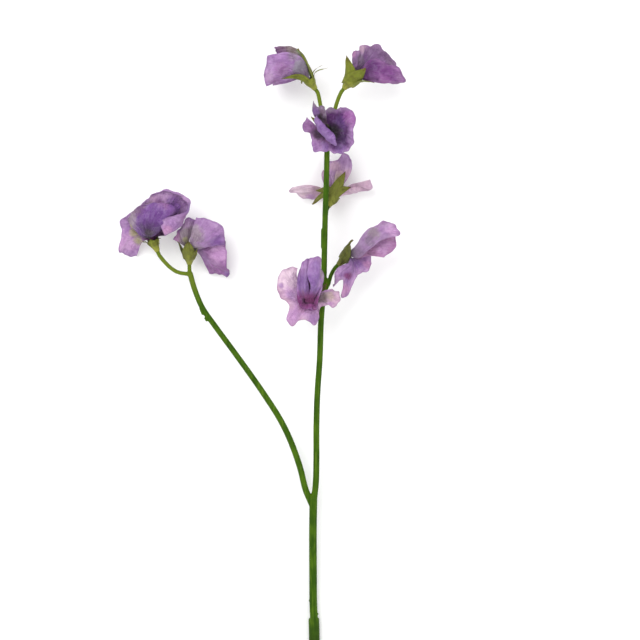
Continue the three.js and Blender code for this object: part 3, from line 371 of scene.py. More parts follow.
UPPER_BACK = {
    "name": "upper_back",
    "green": "calyx_olive_leaf",
    "foot": [43.6, 94.8, 17.8],
    "aim": [0.35, 0.85, -0.35],
    "top": [0, -0.65, -0.75],
    "pedicel": [[42, 85, 24.3], [42.2, 88.5, 22.6], [42.6, 91.5, 20.2]],
    "sepals": [
        [54.6, 117.3, 20.5, 4], [58.3, 107.3, 18, 3.6, 150], [33.6, 96, 19, 3.8, -140],
        [35.8, 105.5, 17, 3.2, -165], [51.5, 101, 4.5, 2.4],
    ],
    "standard": [
        [[43, 105, 12], [38, 108, 12.5], [30, 109.3, 13], [20, 107.8, 12.5]],
        [[43, 104, 11], [37, 106.3, 11.5], [28.5, 106, 12], [17.8, 105.4, 12]],
        [[43, 103, 10], [37, 104.3, 9.5], [30, 103.3, 9], [23, 103, 9.5]],
        [[43.5, 102, 8.5], [38, 102.5, 6.5], [33.5, 100.8, 6], [29.5, 100.2, 6]],
        [[45, 101.5, 6.5], [43, 101.5, 3], [42, 101.5, -1]],
        [[48.5, 102, 5.5], [50, 102.5, 2.5], [51, 103.5, -1]],
        [[52, 104, 7.5], [56, 106.5, 8.5], [60, 108.7, 9.5], [66.5, 105.3, 10.5]],
        [[52.6, 105, 9.5], [57, 107.7, 10.5], [62, 109.6, 12], [72.5, 107, 13]],
        [[52.6, 106, 11], [57, 108.6, 12], [62, 110.3, 13], [71, 112.8, 13.5]],
    ],
    "wing_right": [
        [[53, 108.5, 11.5], [56.5, 113.5, 11], [59.2, 119, 10.5], [59.6, 123, 10]],
        [[52.3, 109.3, 12.5], [54.8, 117, 11.8], [57, 124, 10.8], [58, 128, 9.5]],
        [[51.2, 109.6, 13], [52.3, 118, 12.5], [53.5, 125, 11.5], [54.7, 130.7, 10]],
        [[50, 109.3, 13], [49.8, 117, 12.5], [50, 122, 12], [50, 126.3, 11]],
        [[48.4, 108.4, 12.5], [46, 113.5, 12], [43.4, 120, 11], [42.5, 125, 10]],
    ],
    "wing_left": [
        [[44, 105.8, 12.5], [41.3, 108.8, 12.7], [40.3, 111.5, 12.5]],
        [[44.8, 106.7, 12.2], [41.8, 111.5, 11.5], [39.3, 116.8, 10.5]],
        [[46, 107.4, 11.5], [43.5, 113.5, 10], [42.5, 121, 8.5]],
        [[48.3, 108, 10.6], [47.8, 114, 9.2], [47.3, 122, 7.5]],
    ],
    "keel": [
        [[47.3, 109, 15.5], [48, 113.5, 16], [49, 118.5, 15.5]],
        [[49, 109.3, 16.3], [50.5, 114, 17.2], [52, 119, 16.3]],
        [[50.8, 109, 15.3], [53, 113.5, 15.3], [54.3, 117, 14.7]],
    ],
}

LOWER_FRONT = {
    "name": "lower_front",
    "green": "calyx_dark_leaf",
    "foot": [36.4, 36, 25],
    "aim": [-0.4, -0.3, 0.87],
    "top": [-0.3, -0.85, -0.43],
    "pedicel": [[39.9, 38, 20.9]],
    "sepals": [
        [42.9, 44.4, 30, 2.4], [35, 46, 31, 2.4], [44, 33, 30, 2.4], [23.5, 38, 29, 2.4], [31, 25, 29, 2.4],
    ],
    "standard_half": 80,
    "standard": [
        [[38.3, 37.8, 35.5], [42.5, 40.2, 34], [46, 41, 32.5]],
        [[38.7, 36.8, 36], [44.5, 38.5, 36], [50.7, 38.8, 33.5]],
        [[38.6, 35.5, 36.3], [44.8, 35, 36.5], [51, 33.5, 34.5]],
        [[38.2, 34.2, 36.3], [43.5, 31.8, 36], [46.8, 28.8, 34.5]],
        [[37.5, 33.2, 36], [40.5, 31.5, 35.5], [41.8, 30.5, 35]],
        [[36.5, 32, 36], [37.5, 29.5, 35.7], [38.2, 28, 35.5]],
        [[35.3, 31, 36], [37, 26, 36], [37.5, 21.5, 36]],
        [[33.8, 30, 36], [34.3, 24, 37], [34.5, 17.8, 36.5]],
        [[32, 29.3, 36.2], [31, 25, 37.3], [30.5, 20.5, 37]],
        [[30.3, 29, 36.3], [27.8, 25.3, 37.5], [26.5, 21, 37]],
        [[28.8, 29.2, 36.3], [24, 24.5, 38], [20.5, 17, 37]],
        [[27.5, 30, 36.3], [22, 26.5, 38], [16.8, 20.5, 37]],
        [[26.5, 31.2, 36.3], [21.5, 31.5, 38], [18.6, 30.8, 37.5]],
        [[25.7, 33, 36.3], [19, 35.5, 38.5], [13.5, 35, 37]],
        [[25.3, 35.5, 36.3], [17, 41, 39], [10.6, 42.5, 37]],
        [[25.5, 38, 36.5], [17, 47, 39], [13, 51.5, 37.5]],
        [[26, 40, 36.7], [20.5, 50.5, 39], [19.5, 55.2, 38.5]],
        [[26.7, 41.5, 37], [23.5, 50, 39.3], [24, 54.5, 39.5]],
    ],
    "wing_right": [
        [[32.6, 33.2, 40], [33.2, 30, 41.3], [33.6, 27.3, 42]],
        [[29, 31.3, 39.5], [27.5, 29.5, 41.5], [26.7, 28.3, 42.5]],
        [[27.8, 32.8, 40.5], [25, 34, 43], [23.9, 34.6, 43.5]],
        [[27.5, 34.5, 42], [25.3, 41, 45.5], [24.4, 50, 45.5]],
        [[28, 35, 43.5], [27, 44, 49], [27.3, 58, 46.5]],
        [[29, 35, 44.7], [29.5, 45, 52], [31, 59.5, 49]],
        [[33, 35, 43.4], [31.4, 43, 49], [31.2, 49, 52], [34.8, 59.7, 49.8]],
    ],
    "wing_left": [
        [[31.4, 33.4, 41], [31, 30, 42.3], [31, 27.6, 43]],
        [[34.2, 31.3, 39.5], [35.3, 29.5, 41.5], [36, 28.3, 42.5]],
        [[34.8, 33.3, 41], [37, 34.5, 43.5], [37.8, 35.5, 43.5]],
        [[34.9, 35, 42.5], [39, 43, 45], [40.6, 48, 45]],
        [[34.5, 36, 44], [38, 46, 49], [39.3, 55, 47]],
        [[33.8, 36, 45], [36.5, 46, 52], [38.6, 60.7, 49.5]],
        [[31.2, 36, 45.2], [32.4, 42.5, 51], [30.4, 49, 54.3], [31.6, 60.2, 52.8]],
    ],
    "keel": [
        [[28.8, 32.6, 41], [29.4, 40, 42.5], [30, 56, 43.5]],
        [[31.8, 31.6, 42], [31.6, 40, 45], [32, 58, 46]],
        [[34.8, 32.6, 41], [34.2, 40, 42.5], [34, 56, 43.5]],
    ],
}

LOWER_SIDE = {
    "name": "lower_side",
    "girth": 0.8,
    "green": "calyx_dark_leaf",
    "foot": [50.1, 56.8, 22],
    "aim": [0.7, 0.7, 0.15],
    "top": [0.5, -0.75, 0.4],
    "pedicel": [[41, 39.5, 21.4], [43.6, 43.7, 22], [45.5, 50.2, 22]],
    "sepals": [
        [59.8, 72.6, 27, 2.8, 125], [53.5, 66, 14, 2.4], [58.2, 69, 32.5, 3.6],
        [60.5, 60.5, 17, 3], [50.8, 55.8, 26, 1.8],
    ],
    "standard_half": 28,
    "standard": [
        [[62.8, 61.2, 20.6], [68.5, 63.6, 19.5], [71.5, 62.6, 19]],
        [[62.8, 59.2, 23.5], [68, 58, 22], [71.7, 57, 21]],
        [[62.3, 57.8, 25], [66, 54.5, 25], [69.5, 53, 24.5]],
        [[61.5, 56.9, 26.5], [63.5, 53, 27], [65, 51.5, 26.5]],
        [[60.8, 56.4, 27.5], [60.5, 51, 29], [61.5, 48.2, 28.5]],
        [[60.2, 56.3, 28.3], [58, 49.5, 30.5], [57, 44, 30], [56.8, 37.5, 28]],
        [[59.6, 56.5, 29], [56.3, 48.5, 31.5], [54, 42, 30.5], [52.4, 35.5, 28]],
        [[59, 56.8, 29.5], [55.2, 50.5, 31.5], [53, 47, 30.5]],
        [[58.2, 57.1, 30], [52.5, 51, 31.5], [49.5, 45, 30], [46.5, 41.8, 28]],
        [[57.4, 57.5, 30.3], [51.5, 54, 31.5], [48.3, 51.5, 30.5], [47.8, 46.5, 29]],
        [[56.6, 58, 30.3], [52.5, 56.3, 31], [49, 54.2, 30.5]],
    ],
    "wing_right": [
        [[63, 60.8, 29.5], [70, 66, 33], [78, 71.5, 34.5], [85, 74, 34]],
        [[63.2, 62.7, 31.5], [71.5, 69.5, 36.5], [81, 75, 38], [89.5, 75.6, 35.5]],
        [[62.8, 64.7, 32.5], [71, 73.3, 38.3], [80, 78.7, 39.3], [88, 80.3, 36]],
        [[62, 66.2, 32.3], [69.5, 75.8, 37.3], [77, 80.8, 38.3], [84.5, 83.3, 35.5]],
        [[61.2, 67.3, 31], [67, 76.3, 34.5], [74, 80.8, 35.5], [79.8, 84.7, 34.5]],
        [[60.5, 68, 29], [65, 74.2, 31], [70, 79.6, 32], [75, 81.6, 32]],
    ],
    "wing_left": [
        [[62.7, 60.3, 24.5], [67, 62, 25], [72, 62.5, 26], [79.3, 61.5, 27]],
        [[63.2, 61.5, 24.5], [69.5, 64.5, 26], [77, 64.5, 28], [84, 64.5, 28.5]],
        [[63.3, 62.8, 24], [71, 67.5, 26], [79, 69, 28.5], [87.3, 68.7, 29]],
        [[63, 64, 23], [71, 70.8, 24.5], [79, 73.2, 26.5], [87.3, 73.8, 28]],
        [[62, 65.5, 22], [69.5, 74.5, 23], [77, 79, 25], [84, 81, 26.5]],
        [[60.8, 66.7, 22], [66.5, 74.5, 22.5], [72, 79, 24], [78, 82.3, 26]],
    ],
    "keel": [
        [[62, 65.2, 26.3], [67.5, 70, 27.5], [73, 74, 28.5]],
        [[62, 65.8, 28], [68.5, 70.5, 30], [74.5, 73.5, 31]],
        [[60.7, 67, 27], [66.5, 72.5, 27.8], [72.5, 77, 28.5]],
    ],
}

BLOOMS = [LEFT_OUTER, LEFT_INNER, TOP_LEFT, TOP_RIGHT, UPPER_FRONT, UPPER_BACK, LOWER_FRONT, LOWER_SIDE]


# ---------------------------------------------------------------- colours
def tint(red, green, blue):
    """A colour given as it looks on a screen, 0 to 255, in the shader's own light values."""
    def linear(level):
        level /= 255
        return level / 12.92 if level <= 0.04045 else ((level + 0.055) / 1.055) ** 2.4
    return (linear(red), linear(green), linear(blue), 1.0)


# Near black: painted shade in the deep throat and the crevices of a bloom.
THROAT_SHADE = tint(29, 12, 25)
PLUM_SHADOW = tint(52, 26, 45)
WINE = tint(96, 28, 78)
MAGENTA = tint(128, 44, 108)
AUBERGINE = tint(70, 26, 90)
DEEP_PURPLE = tint(95, 44, 108)
PLUM = tint(120, 58, 128)
VIOLET = tint(107, 61, 134)
PURPLE = tint(125, 80, 150)
SMOKE = tint(107, 73, 100)
PERIWINKLE = tint(140, 101, 164)
MAUVE = tint(149, 102, 153)
ORCHID_SHADE = tint(162, 98, 165)
DUSK = tint(136, 115, 138)
SLATE_LILAC = tint(142, 134, 148)
GREY_LILAC = tint(153, 136, 145)
LILAC = tint(161, 119, 173)
SOFT_LILAC = tint(172, 133, 181)
PALE_LILAC = tint(187, 149, 190)
ORCHID = tint(191, 136, 181)
ROSE_LILAC = tint(199, 153, 199)
PINK_WHITE = tint(206, 169, 192)
POWDER_PINK = tint(228, 202, 216)
BLUSH_CREAM = tint(195, 173, 165)
CREAM_GREEN = tint(176, 170, 120)
MOSS = tint(98, 122, 54)
TAUPE = tint(116, 98, 92)
BROWN_TIP = tint(112, 98, 40)
# SHADE is painted shade and the pale tone after it a painted highlight: petals take both in their streaks, mottles and
# crumples. SHADE also darkens veins, the very edge of each petal and broad blotches on the calyces.
SHADE = tint(176, 150, 190)
PAINTED_HIGHLIGHT = tint(226, 210, 242)
SHADE_SHARE = 0.7  # how much of SHADE a colour's darker tone takes
PAINTED_HIGHLIGHT_SHARE = 0.26

# The calyces' greens, at the foot and over the leaf.
GREENS = {
    "calyx_yellow_leaf": (tint(150, 152, 58), tint(112, 120, 34)),
    "calyx_olive_leaf": (tint(132, 136, 52), tint(100, 104, 34)),
    "calyx_dark_leaf": (tint(112, 116, 44), tint(82, 86, 30)),
}

# The stem's greens. It is darker round its cut end and paler near the blooms at the ends of its arms.
STEM_GREENS = (tint(44, 76, 2), tint(66, 98, 8))
PALE_STREAK = tint(96, 122, 30)
DARK_STREAK = tint(28, 54, 2)
FLECK = tint(38, 52, 14)
OLD_END = {"reach": 27, "share": 0.8, "green": tint(40, 62, 8)}
YOUNG_END = {"reach": 28, "share": 0.6, "green": tint(108, 122, 36)}
YOUNG_BLOOMS = [LEFT_OUTER, LEFT_INNER, TOP_LEFT, TOP_RIGHT]

PAPER = (tint(250, 250, 250), tint(252, 252, 252))

# Each petal is coloured at its claw, its middle and its rim, and touched up in patches: a place, a radius, a colour.
# Dark claws and some dark patches are painted shade in throats, crevices and under hoods, and two pale patches are
# painted light.
PALE_KEEL = (CREAM_GREEN, PALE_LILAC, PALE_LILAC, [])
PETAL_COLOURS_AND_PAINTED_LIGHT = {
    "left_outer": {
        "standard": (MAUVE, LILAC, SOFT_LILAC, [
            ((-88, 71, 10), 11, ROSE_LILAC), ((-82, 78, 16), 5, CREAM_GREEN), ((-80.5, 73.5, 11), 5, CREAM_GREEN),
            # The PINK_WHITE patch at (-70, 98, 20) and the PALE_LILAC one at (-61, 99, 22) are painted light that
            # lifts the standard's inner face where the hood shades it.
            ((-70, 98, 20), 9, PINK_WHITE), ((-61, 99, 22), 8, PALE_LILAC), ((-50, 98, 29), 6, PALE_LILAC),
            ((-60, 78, 31), 6, ORCHID), ((-72, 75, 14), 5, MAGENTA), ((-57, 97, 25), 6, PURPLE),
            ((-66, 95.5, 25.5), 6, MAUVE), ((-46, 92, 29), 6, PERIWINKLE), ((-49, 86, 29), 5, MAUVE),
        ]),
        "wing_right": (DEEP_PURPLE, VIOLET, PURPLE, []),
        "wing_left": (PLUM_SHADOW, VIOLET, PURPLE, [
            ((-84, 82, 21), 4, CREAM_GREEN), ((-83, 87, 25), 9, GREY_LILAC), ((-77, 91, 29), 7, SMOKE),
            # Painted shade: the AUBERGINE patch at (-71, 80, 30) darkens the hood's base and the DEEP_PURPLE one at
            # (-55, 87.5, 30) its right edge.
            ((-66, 88, 37), 9, VIOLET), ((-71, 80, 30), 9, AUBERGINE), ((-72, 78, 29), 5, PLUM_SHADOW),
            ((-55, 87.5, 30), 7, DEEP_PURPLE), ((-62, 96, 32), 6, MAUVE),
        ]),
        "keel": (MAGENTA, MAUVE, ORCHID, []),
    },
    "left_inner": {
        "standard": (SOFT_LILAC, MAUVE, MAUVE, [
            ((-27, 64, 17), 9.5, ROSE_LILAC), ((-28, 53, 8), 8, MAUVE), ((-22, 51.5, 8), 4, PERIWINKLE),
            ((-37, 61, 11), 6, LILAC),
        ]),
        "wing_right": (GREY_LILAC, LILAC, SOFT_LILAC, [
            ((-28, 71, 23), 7, PURPLE), ((-42, 77, 26), 8, GREY_LILAC), ((-33, 81, 27), 6, SOFT_LILAC),
        ]),
        "wing_left": (CREAM_GREEN, GREY_LILAC, LILAC, [
            ((-46, 79, 22), 2.5, SMOKE), ((-49, 73, 20), 3, CREAM_GREEN), ((-55, 75.5, 18), 5, ORCHID),
            ((-50, 84, 21), 5, PALE_LILAC), ((-42, 84, 24), 4, GREY_LILAC),
        ]),
        "keel": PALE_KEEL,
    },
    "top_left": {
        "standard": (MOSS, GREY_LILAC, MAUVE, [
            ((14, 196, 33), 7, SMOKE), ((20.5, 195, 35), 5, TAUPE), ((31, 186, 31), 6.5, MOSS),
            ((29.5, 190, 31), 5.5, MOSS), ((26, 193.5, 32), 5, MOSS),
        ]),
        "wing_right": (DUSK, LILAC, SOFT_LILAC, [
            ((10, 189, 40), 7, LILAC), ((5, 177, 38), 6, PALE_LILAC), ((14, 181, 40), 7, MAUVE),
            ((10, 174, 35), 5, MAUVE), ((21, 190, 39), 5, DUSK), ((26, 184, 36), 8, SLATE_LILAC),
        ]),
        "wing_left": (GREY_LILAC, LILAC, PALE_LILAC, []),
        "keel": PALE_KEEL,
    },
    "top_right": {
        "standard": (SMOKE, LILAC, PALE_LILAC, [
            # The DUSK patch at (64, 189, 26) is painted shade along a fold.
            ((60, 192, 34), 4, ORCHID), ((64, 189, 26), 5, DUSK), ((66.5, 196, 30), 4.5, PINK_WHITE),
            ((75, 193, 23), 8, SOFT_LILAC), ((83, 188, 24), 6, PALE_LILAC),
        ]),
        "wing_right": (DEEP_PURPLE, DEEP_PURPLE, MAUVE, []),
        "wing_left": (DEEP_PURPLE, PLUM, MAUVE, [
            ((80, 175, 34), 6, ORCHID_SHADE), ((72, 184, 35), 6, DEEP_PURPLE), ((83, 180, 37), 6, PLUM),
            ((91, 177, 35), 5, MAUVE),
        ]),
        "keel": PALE_KEEL,
    },
    "upper_front": {
        # The near-black claws of standard and wings are painted shade in the deep throat; the dark patches at (52.5,
        # 137, 43) and (47, 141, 41) are painted shade in the crevices beside the keel.
        "standard": (THROAT_SHADE, DEEP_PURPLE, SOFT_LILAC, [
            ((52, 147, 44), 7, VIOLET), ((57.5, 149, 48.5), 7.5, ORCHID_SHADE), ((52.5, 137, 43), 6, AUBERGINE),
            ((47, 141, 41), 6.5, THROAT_SHADE), ((58, 137, 47), 5.5, LILAC), ((51, 130, 45.5), 5, PERIWINKLE),
            ((44.5, 155, 46), 4, DUSK),
        ]),
        "wing_right": (THROAT_SHADE, MAUVE, SOFT_LILAC, [
            ((31, 145, 42.5), 6, MAUVE), ((36.5, 131.5, 43.5), 5.5, LILAC), ((42.5, 132, 42.5), 4.5, PERIWINKLE),
            ((37, 139.5, 41), 5.5, PLUM_SHADOW),
        ]),
        "wing_left": (THROAT_SHADE, SMOKE, DUSK, [
            ((38.3, 150, 47), 5.5, PLUM_SHADOW), ((34.8, 153, 48), 4.5, PERIWINKLE), ((41.5, 150.5, 48), 3, DUSK),
        ]),
        "keel": (PLUM_SHADOW, PERIWINKLE, PERIWINKLE, []),
    },
    "upper_back": {
        "standard": (CREAM_GREEN, PINK_WHITE, POWDER_PINK, [
            ((26, 106, 12), 8, POWDER_PINK), ((32, 101, 6), 5, PALE_LILAC), ((67, 108, 12), 7, PINK_WHITE),
        ]),
        "wing_right": (BLUSH_CREAM, PALE_LILAC, SOFT_LILAC, [
            ((48, 122, 12), 5.5, PINK_WHITE), ((53.5, 126, 11), 5, SOFT_LILAC), ((56, 116, 11), 5, PINK_WHITE),
            ((51, 115, 12.5), 4, DUSK),
        ]),
        "wing_left": (BLUSH_CREAM, PALE_LILAC, PINK_WHITE, []),
        "keel": (CREAM_GREEN, BLUSH_CREAM, PINK_WHITE, []),
    },
    "lower_front": {
        "standard": (BLUSH_CREAM, ROSE_LILAC, PINK_WHITE, [
            ((17, 48, 39), 10, POWDER_PINK), ((13.5, 43, 38), 2.5, SOFT_LILAC), ((19.7, 37, 38.5), 3.5, SOFT_LILAC),
            ((20, 22, 37.5), 7, ROSE_LILAC), ((34, 21, 36.5), 6, LILAC), ((27.5, 29, 37), 5, ORCHID),
            # The TAUPE patch at (40, 35, 36) is a painted shadow line between the hood and the stem.
            ((49, 35, 35), 6, PINK_WHITE), ((44.5, 36, 36), 5, BLUSH_CREAM), ((40, 35, 36), 5, TAUPE),
        ]),
        "wing_right": (MAGENTA, PERIWINKLE, LILAC, [
            ((29, 33, 42), 11, MAGENTA), ((26, 46, 47), 5, PURPLE), ((29, 55, 48.5), 6, LILAC),
        ]),
        "wing_left": (MAGENTA, PERIWINKLE, SOFT_LILAC, [
            ((34, 33, 42), 10.5, MAGENTA), ((38, 45, 46), 5, LILAC), ((39, 50, 45), 5, GREY_LILAC),
            ((35, 56, 50), 5, PERIWINKLE),
        ]),
        # The keel is magenta at its claw; it darkens through WINE to SMOKE further along, painted shade where it runs
        # in under the wings.
        "keel": (MAGENTA, WINE, SMOKE, []),
    },
    "lower_side": {
        "standard": (PERIWINKLE, LILAC, PALE_LILAC, [
            ((69, 57, 22), 4.5, ORCHID), ((63, 58, 26), 5, PURPLE), ((56.5, 49.5, 31), 3.6, MAGENTA),
            ((52, 54, 31), 4, SOFT_LILAC), ((54.5, 40, 30), 6, ORCHID), ((49.5, 47, 31), 5, PALE_LILAC),
        ]),
        "wing_right": (DUSK, SOFT_LILAC, PALE_LILAC, [
            ((73, 77, 37), 6, GREY_LILAC), ((70, 72, 36), 5, DUSK), ((85, 79, 38), 7, ROSE_LILAC),
            ((79.5, 84, 36), 3, MAUVE),
        ]),
        "wing_left": (MAUVE, ORCHID, ORCHID, [
            ((80, 68, 28), 8, ROSE_LILAC), ((84, 65.5, 28.5), 3.5, ORCHID),
        ]),
        "keel": PALE_KEEL,
    },
}


# ---------------------------------------------------------------- finishes
class Value:
    """A shader socket. Arithmetic on it adds Math nodes."""

    def __init__(self, finish, socket):
        self.finish = finish
        self.socket = socket

    def _math(self, operation, *operands):
        return self.finish.node("ShaderNodeMath", {"operation": operation}, dict(enumerate(operands)))

    def __add__(self, other):
        return self._math("ADD", self, other)

    def __radd__(self, other):
        return self._math("ADD", other, self)

    def __sub__(self, other):
        return self._math("SUBTRACT", self, other)

    def __rsub__(self, other):
        return self._math("SUBTRACT", other, self)

    def __mul__(self, other):
        return self._math("MULTIPLY", self, other)

    def __rmul__(self, other):
        return self._math("MULTIPLY", other, self)

    def pingpong(self, scale):
        return self._math("PINGPONG", self, scale)


class Finish:
    """A material with one shader, and the few patterns that petals, calyces and the stem are painted with."""

    def __init__(self, name, roughness, sheen=0.0, specular=0.2):
        self.material = bpy.data.materials.new(name)
        self.material.use_nodes = True
        self.tree = self.material.node_tree
        self.shader = self.tree.nodes["Principled BSDF"]
        self.shader.inputs["Roughness"].default_value = roughness
        self.shader.inputs["Specular IOR Level"].default_value = specular
        self.shader.inputs["Sheen Weight"].default_value = sheen
        self.shader.inputs["Sheen Roughness"].default_value = 0.6
        self.place = self.node("ShaderNodeTexCoord", output="Object")

    def node(self, kind, settings=None, sockets=None, output=0):
        """Any node: its settings first, then its sockets, by name or number, as values or links."""
        made = self.tree.nodes.new(kind)
        for key, value in (settings or {}).items():
            if key == "stops":
                ramp = made.color_ramp
                while len(ramp.elements) < len(value):
                    ramp.elements.new(1.0)
                for element, (position, colour) in zip(ramp.elements, value):
                    element.position = position
                    element.color = colour
            else:
                setattr(made, key, value)
        for key, value in (sockets or {}).items():
            if isinstance(value, Value):
                self.tree.links.new(value.socket, made.inputs[key])
            else:
                made.inputs[key].default_value = value
        return Value(self, made.outputs[output])

    def feed(self, socket, value):
        self.tree.links.new(value.socket, self.shader.inputs[socket])

    def attribute(self, name):
        return self.node("ShaderNodeAttribute", {"attribute_name": name}, output="Fac")

    def clouds(self, size, detail=2.0, stretch=(1, 1, 1)):
        """Noise from 0 to 1 in patches of about that size, in millimetres."""
        centred = self.node("ShaderNodeMapping", {"vector_type": "POINT"}, {"Vector": self.place, "Scale": stretch})
        return self.node("ShaderNodeTexNoise", {}, {"Vector": centred, "Scale": 1 / (size * MM), "Detail": detail})

    def step(self, value, low, high, start=0.0, end=1.0):
        """A soft step from start to end while value goes from low to high."""
        sockets = {"Value": value, "From Min": low, "From Max": high, "To Min": start, "To Max": end}
        return self.node("ShaderNodeMapRange", {"interpolation_type": "SMOOTHSTEP"}, sockets)

    def lines(self, across, width):
        """Fine lines, 1 on each whole number that across passes, a share of the way to the next wide."""
        return self.step(across.pingpong(0.5), 0.0, width, 1.0, 0.0)

    def ramp(self, reach, stops):
        return self.node("ShaderNodeValToRGB", {"stops": stops}, {"Fac": reach})

    def mix(self, share, first, second, blend="MIX"):
        settings = {"data_type": "RGBA", "blend_type": blend, "clamp_factor": True}
        return self.node("ShaderNodeMix", settings, {0: share, 6: first, 7: second}, output=2)

    def layers(self, colour, *washes):
        """The colour under washes of others, each a share and its colour, in their order."""
        for share, wash in washes:
            colour = self.mix(share, colour, wash)
        return colour

    def near(self, centre, radius, wobble, core=0.35):
        """1 round a point of the spray, falling softly to 0 at a radius, both in millimetres."""
        away = self.node(
            "ShaderNodeVectorMath", {"operation": "DISTANCE"}, {0: self.place, 1: Vector(centre) * MM}, output="Value")
        return self.step(away + (wobble - 0.5) * radius * MM, core * radius * MM, radius * MM, 1.0, 0.0)

    def relief(self, height, depth, strength):
        """Bumps up to that depth, in millimetres."""
        bump = self.node("ShaderNodeBump", {}, {"Height": height, "Distance": depth * MM, "Strength": strength},
                         output="Normal")
        self.feed("Normal", bump)


def petal_finish(name, claw, middle, rim, patches, ribs):
    """Crumpled petal cloth: coloured from claw to rim, painted shade and painted highlight in soft grey mottles,
    streaks and crumples, fine veins that fan out.
    """
    finish = Finish(name, roughness=0.66, sheen=0.1)
    across = finish.attribute("across")
    along = finish.attribute("along")
    broad = finish.clouds(8.0, 3.0)
    mottle = finish.clouds(3.2, 3.0)
    grain = finish.clouds(0.7, 4.0)
    wander = (broad - 0.5) * 1.4
    fans = finish.node("ShaderNodeCombineXYZ", {}, {0: across * (ribs * 2.6) + wander, 1: along * 1.6})
    streak = finish.node("ShaderNodeTexNoise", {}, {"Vector": fans, "Scale": 1.5, "Detail": 5.0, "Roughness": 0.62})
    veins = finish.lines(across * (ribs * 3.2) + wander * 1.3, 0.16) * finish.step(along, 0.2, 0.98, 1.0, 0.2)
    crumple = (finish.clouds(6.0, 3.0) * 2.6 + streak * 1.8).pingpong(0.5)
    # Coloured from claw to rim. A dark claw colour is painted shade in the bloom's throat; a green or cream one is the
    # claw's own colour.
    colour = finish.ramp(along + (broad - 0.5) * 0.3, [(0.24, claw), (0.5, middle), (0.74, middle), (0.97, rim)])
    for place, radius, patch in patches:
        colour = finish.mix(finish.near(place, radius, mottle) * 0.85, colour, patch)
    shade_and_vein_tone = finish.mix(SHADE_SHARE, colour, SHADE, "MULTIPLY")
    painted_highlight_tone = finish.mix(PAINTED_HIGHLIGHT_SHARE, colour, PAINTED_HIGHLIGHT)
    # Over the colour: painted shade and painted highlight on the streaks, mottles and crumples, darker veins, and
    # darker along the very edge.
    finish.feed("Base Color", finish.layers(
        colour,
        (finish.step(streak, 0.5, 0.74) * 0.6, shade_and_vein_tone),
        (finish.step(streak, 0.5, 0.26) * 0.5, painted_highlight_tone),
        (veins * 0.12, shade_and_vein_tone),
        (finish.step(mottle, 0.5, 0.75) * 0.5, shade_and_vein_tone),
        (finish.step(mottle, 0.46, 0.28) * 0.3, painted_highlight_tone),
        (finish.step(crumple, 0.25, 0.0) * 0.45, shade_and_vein_tone),
        (finish.step(crumple, 0.28, 0.5) * 0.32, painted_highlight_tone),
        (finish.step(along, 0.94, 0.99) * 0.6, shade_and_vein_tone),
    ))
    finish.feed("Roughness", finish.step(mottle, 0.2, 0.8, 0.56, 0.76))
    finish.relief(streak * 0.8 + mottle * 1.0 + grain * 0.22 - veins * 0.2 + crumple * 1.2, depth=0.9, strength=0.85)
    return finish.material


def calyx_finish(name, foot, leaf):
    """Olive green: paler where the cup begins, broad blotches of painted shade, fine lengthwise veins, browner tips.
    """
    finish = Finish(name, roughness=0.6, sheen=0.08)
    across = finish.attribute("across")
    along = finish.attribute("along")
    broad = finish.clouds(4.5, 3.0)
    mottle = finish.clouds(1.3, 4.0)
    veins = finish.lines(across * 2.5 + (broad - 0.5) * 0.4, 0.2) * finish.step(mottle, 0.35, 0.6)
    shade_and_vein_tone = finish.mix(SHADE_SHARE, leaf, SHADE, "MULTIPLY")
    colour = finish.ramp(along + (broad - 0.5) * 0.4, [(0.0, foot), (0.3, leaf), (0.8, leaf), (1.0, BROWN_TIP)])
    finish.feed("Base Color", finish.layers(
        colour,
        # Broad blotches of painted shade; the veins below are the calyx's own darker lines.
        (finish.step(broad, 0.45, 0.7) * 0.75, shade_and_vein_tone),
        (veins * 0.5, shade_and_vein_tone),
        (finish.step(mottle, 0.5, 0.78) * 0.4, foot),
    ))
    finish.feed("Roughness", finish.step(mottle, 0.2, 0.8, 0.5, 0.72))
    finish.relief(mottle * 0.8 + broad * 1.2 - veins * 0.3, depth=0.6, strength=0.9)
    return finish.material


def stem_finish():
    """Waxy dark green with faint long streaks and small dark flecks, paler towards the young blooms."""
    finish = Finish("stem_green_skin", roughness=0.6, specular=0.1)
    broad = finish.clouds(12.0, 3.0)
    streaks = finish.clouds(1.4, 3.0, stretch=(1, 0.1, 1))
    fleck = finish.clouds(0.9, 4.0)
    colour = finish.layers(
        finish.mix(finish.step(broad, 0.3, 0.7), *STEM_GREENS),
        (finish.step(streaks, 0.52, 0.72) * 0.5, PALE_STREAK),
        (finish.step(streaks, 0.48, 0.3) * 0.5, DARK_STREAK),
        (finish.step(fleck, 0.62, 0.78) * 0.35, FLECK),
    )
    for place, end in [(SLEEVE[0], OLD_END)] + [(bloom["foot"], YOUNG_END) for bloom in YOUNG_BLOOMS]:
        colour = finish.mix(finish.near(place, end["reach"], broad) * end["share"], colour, end["green"])
    finish.feed("Base Color", colour)
    finish.feed("Roughness", finish.step(fleck, 0.2, 0.8, 0.5, 0.7))
    finish.relief(streaks * 0.8 + fleck * 0.3, depth=0.35, strength=0.8)
    return finish.material


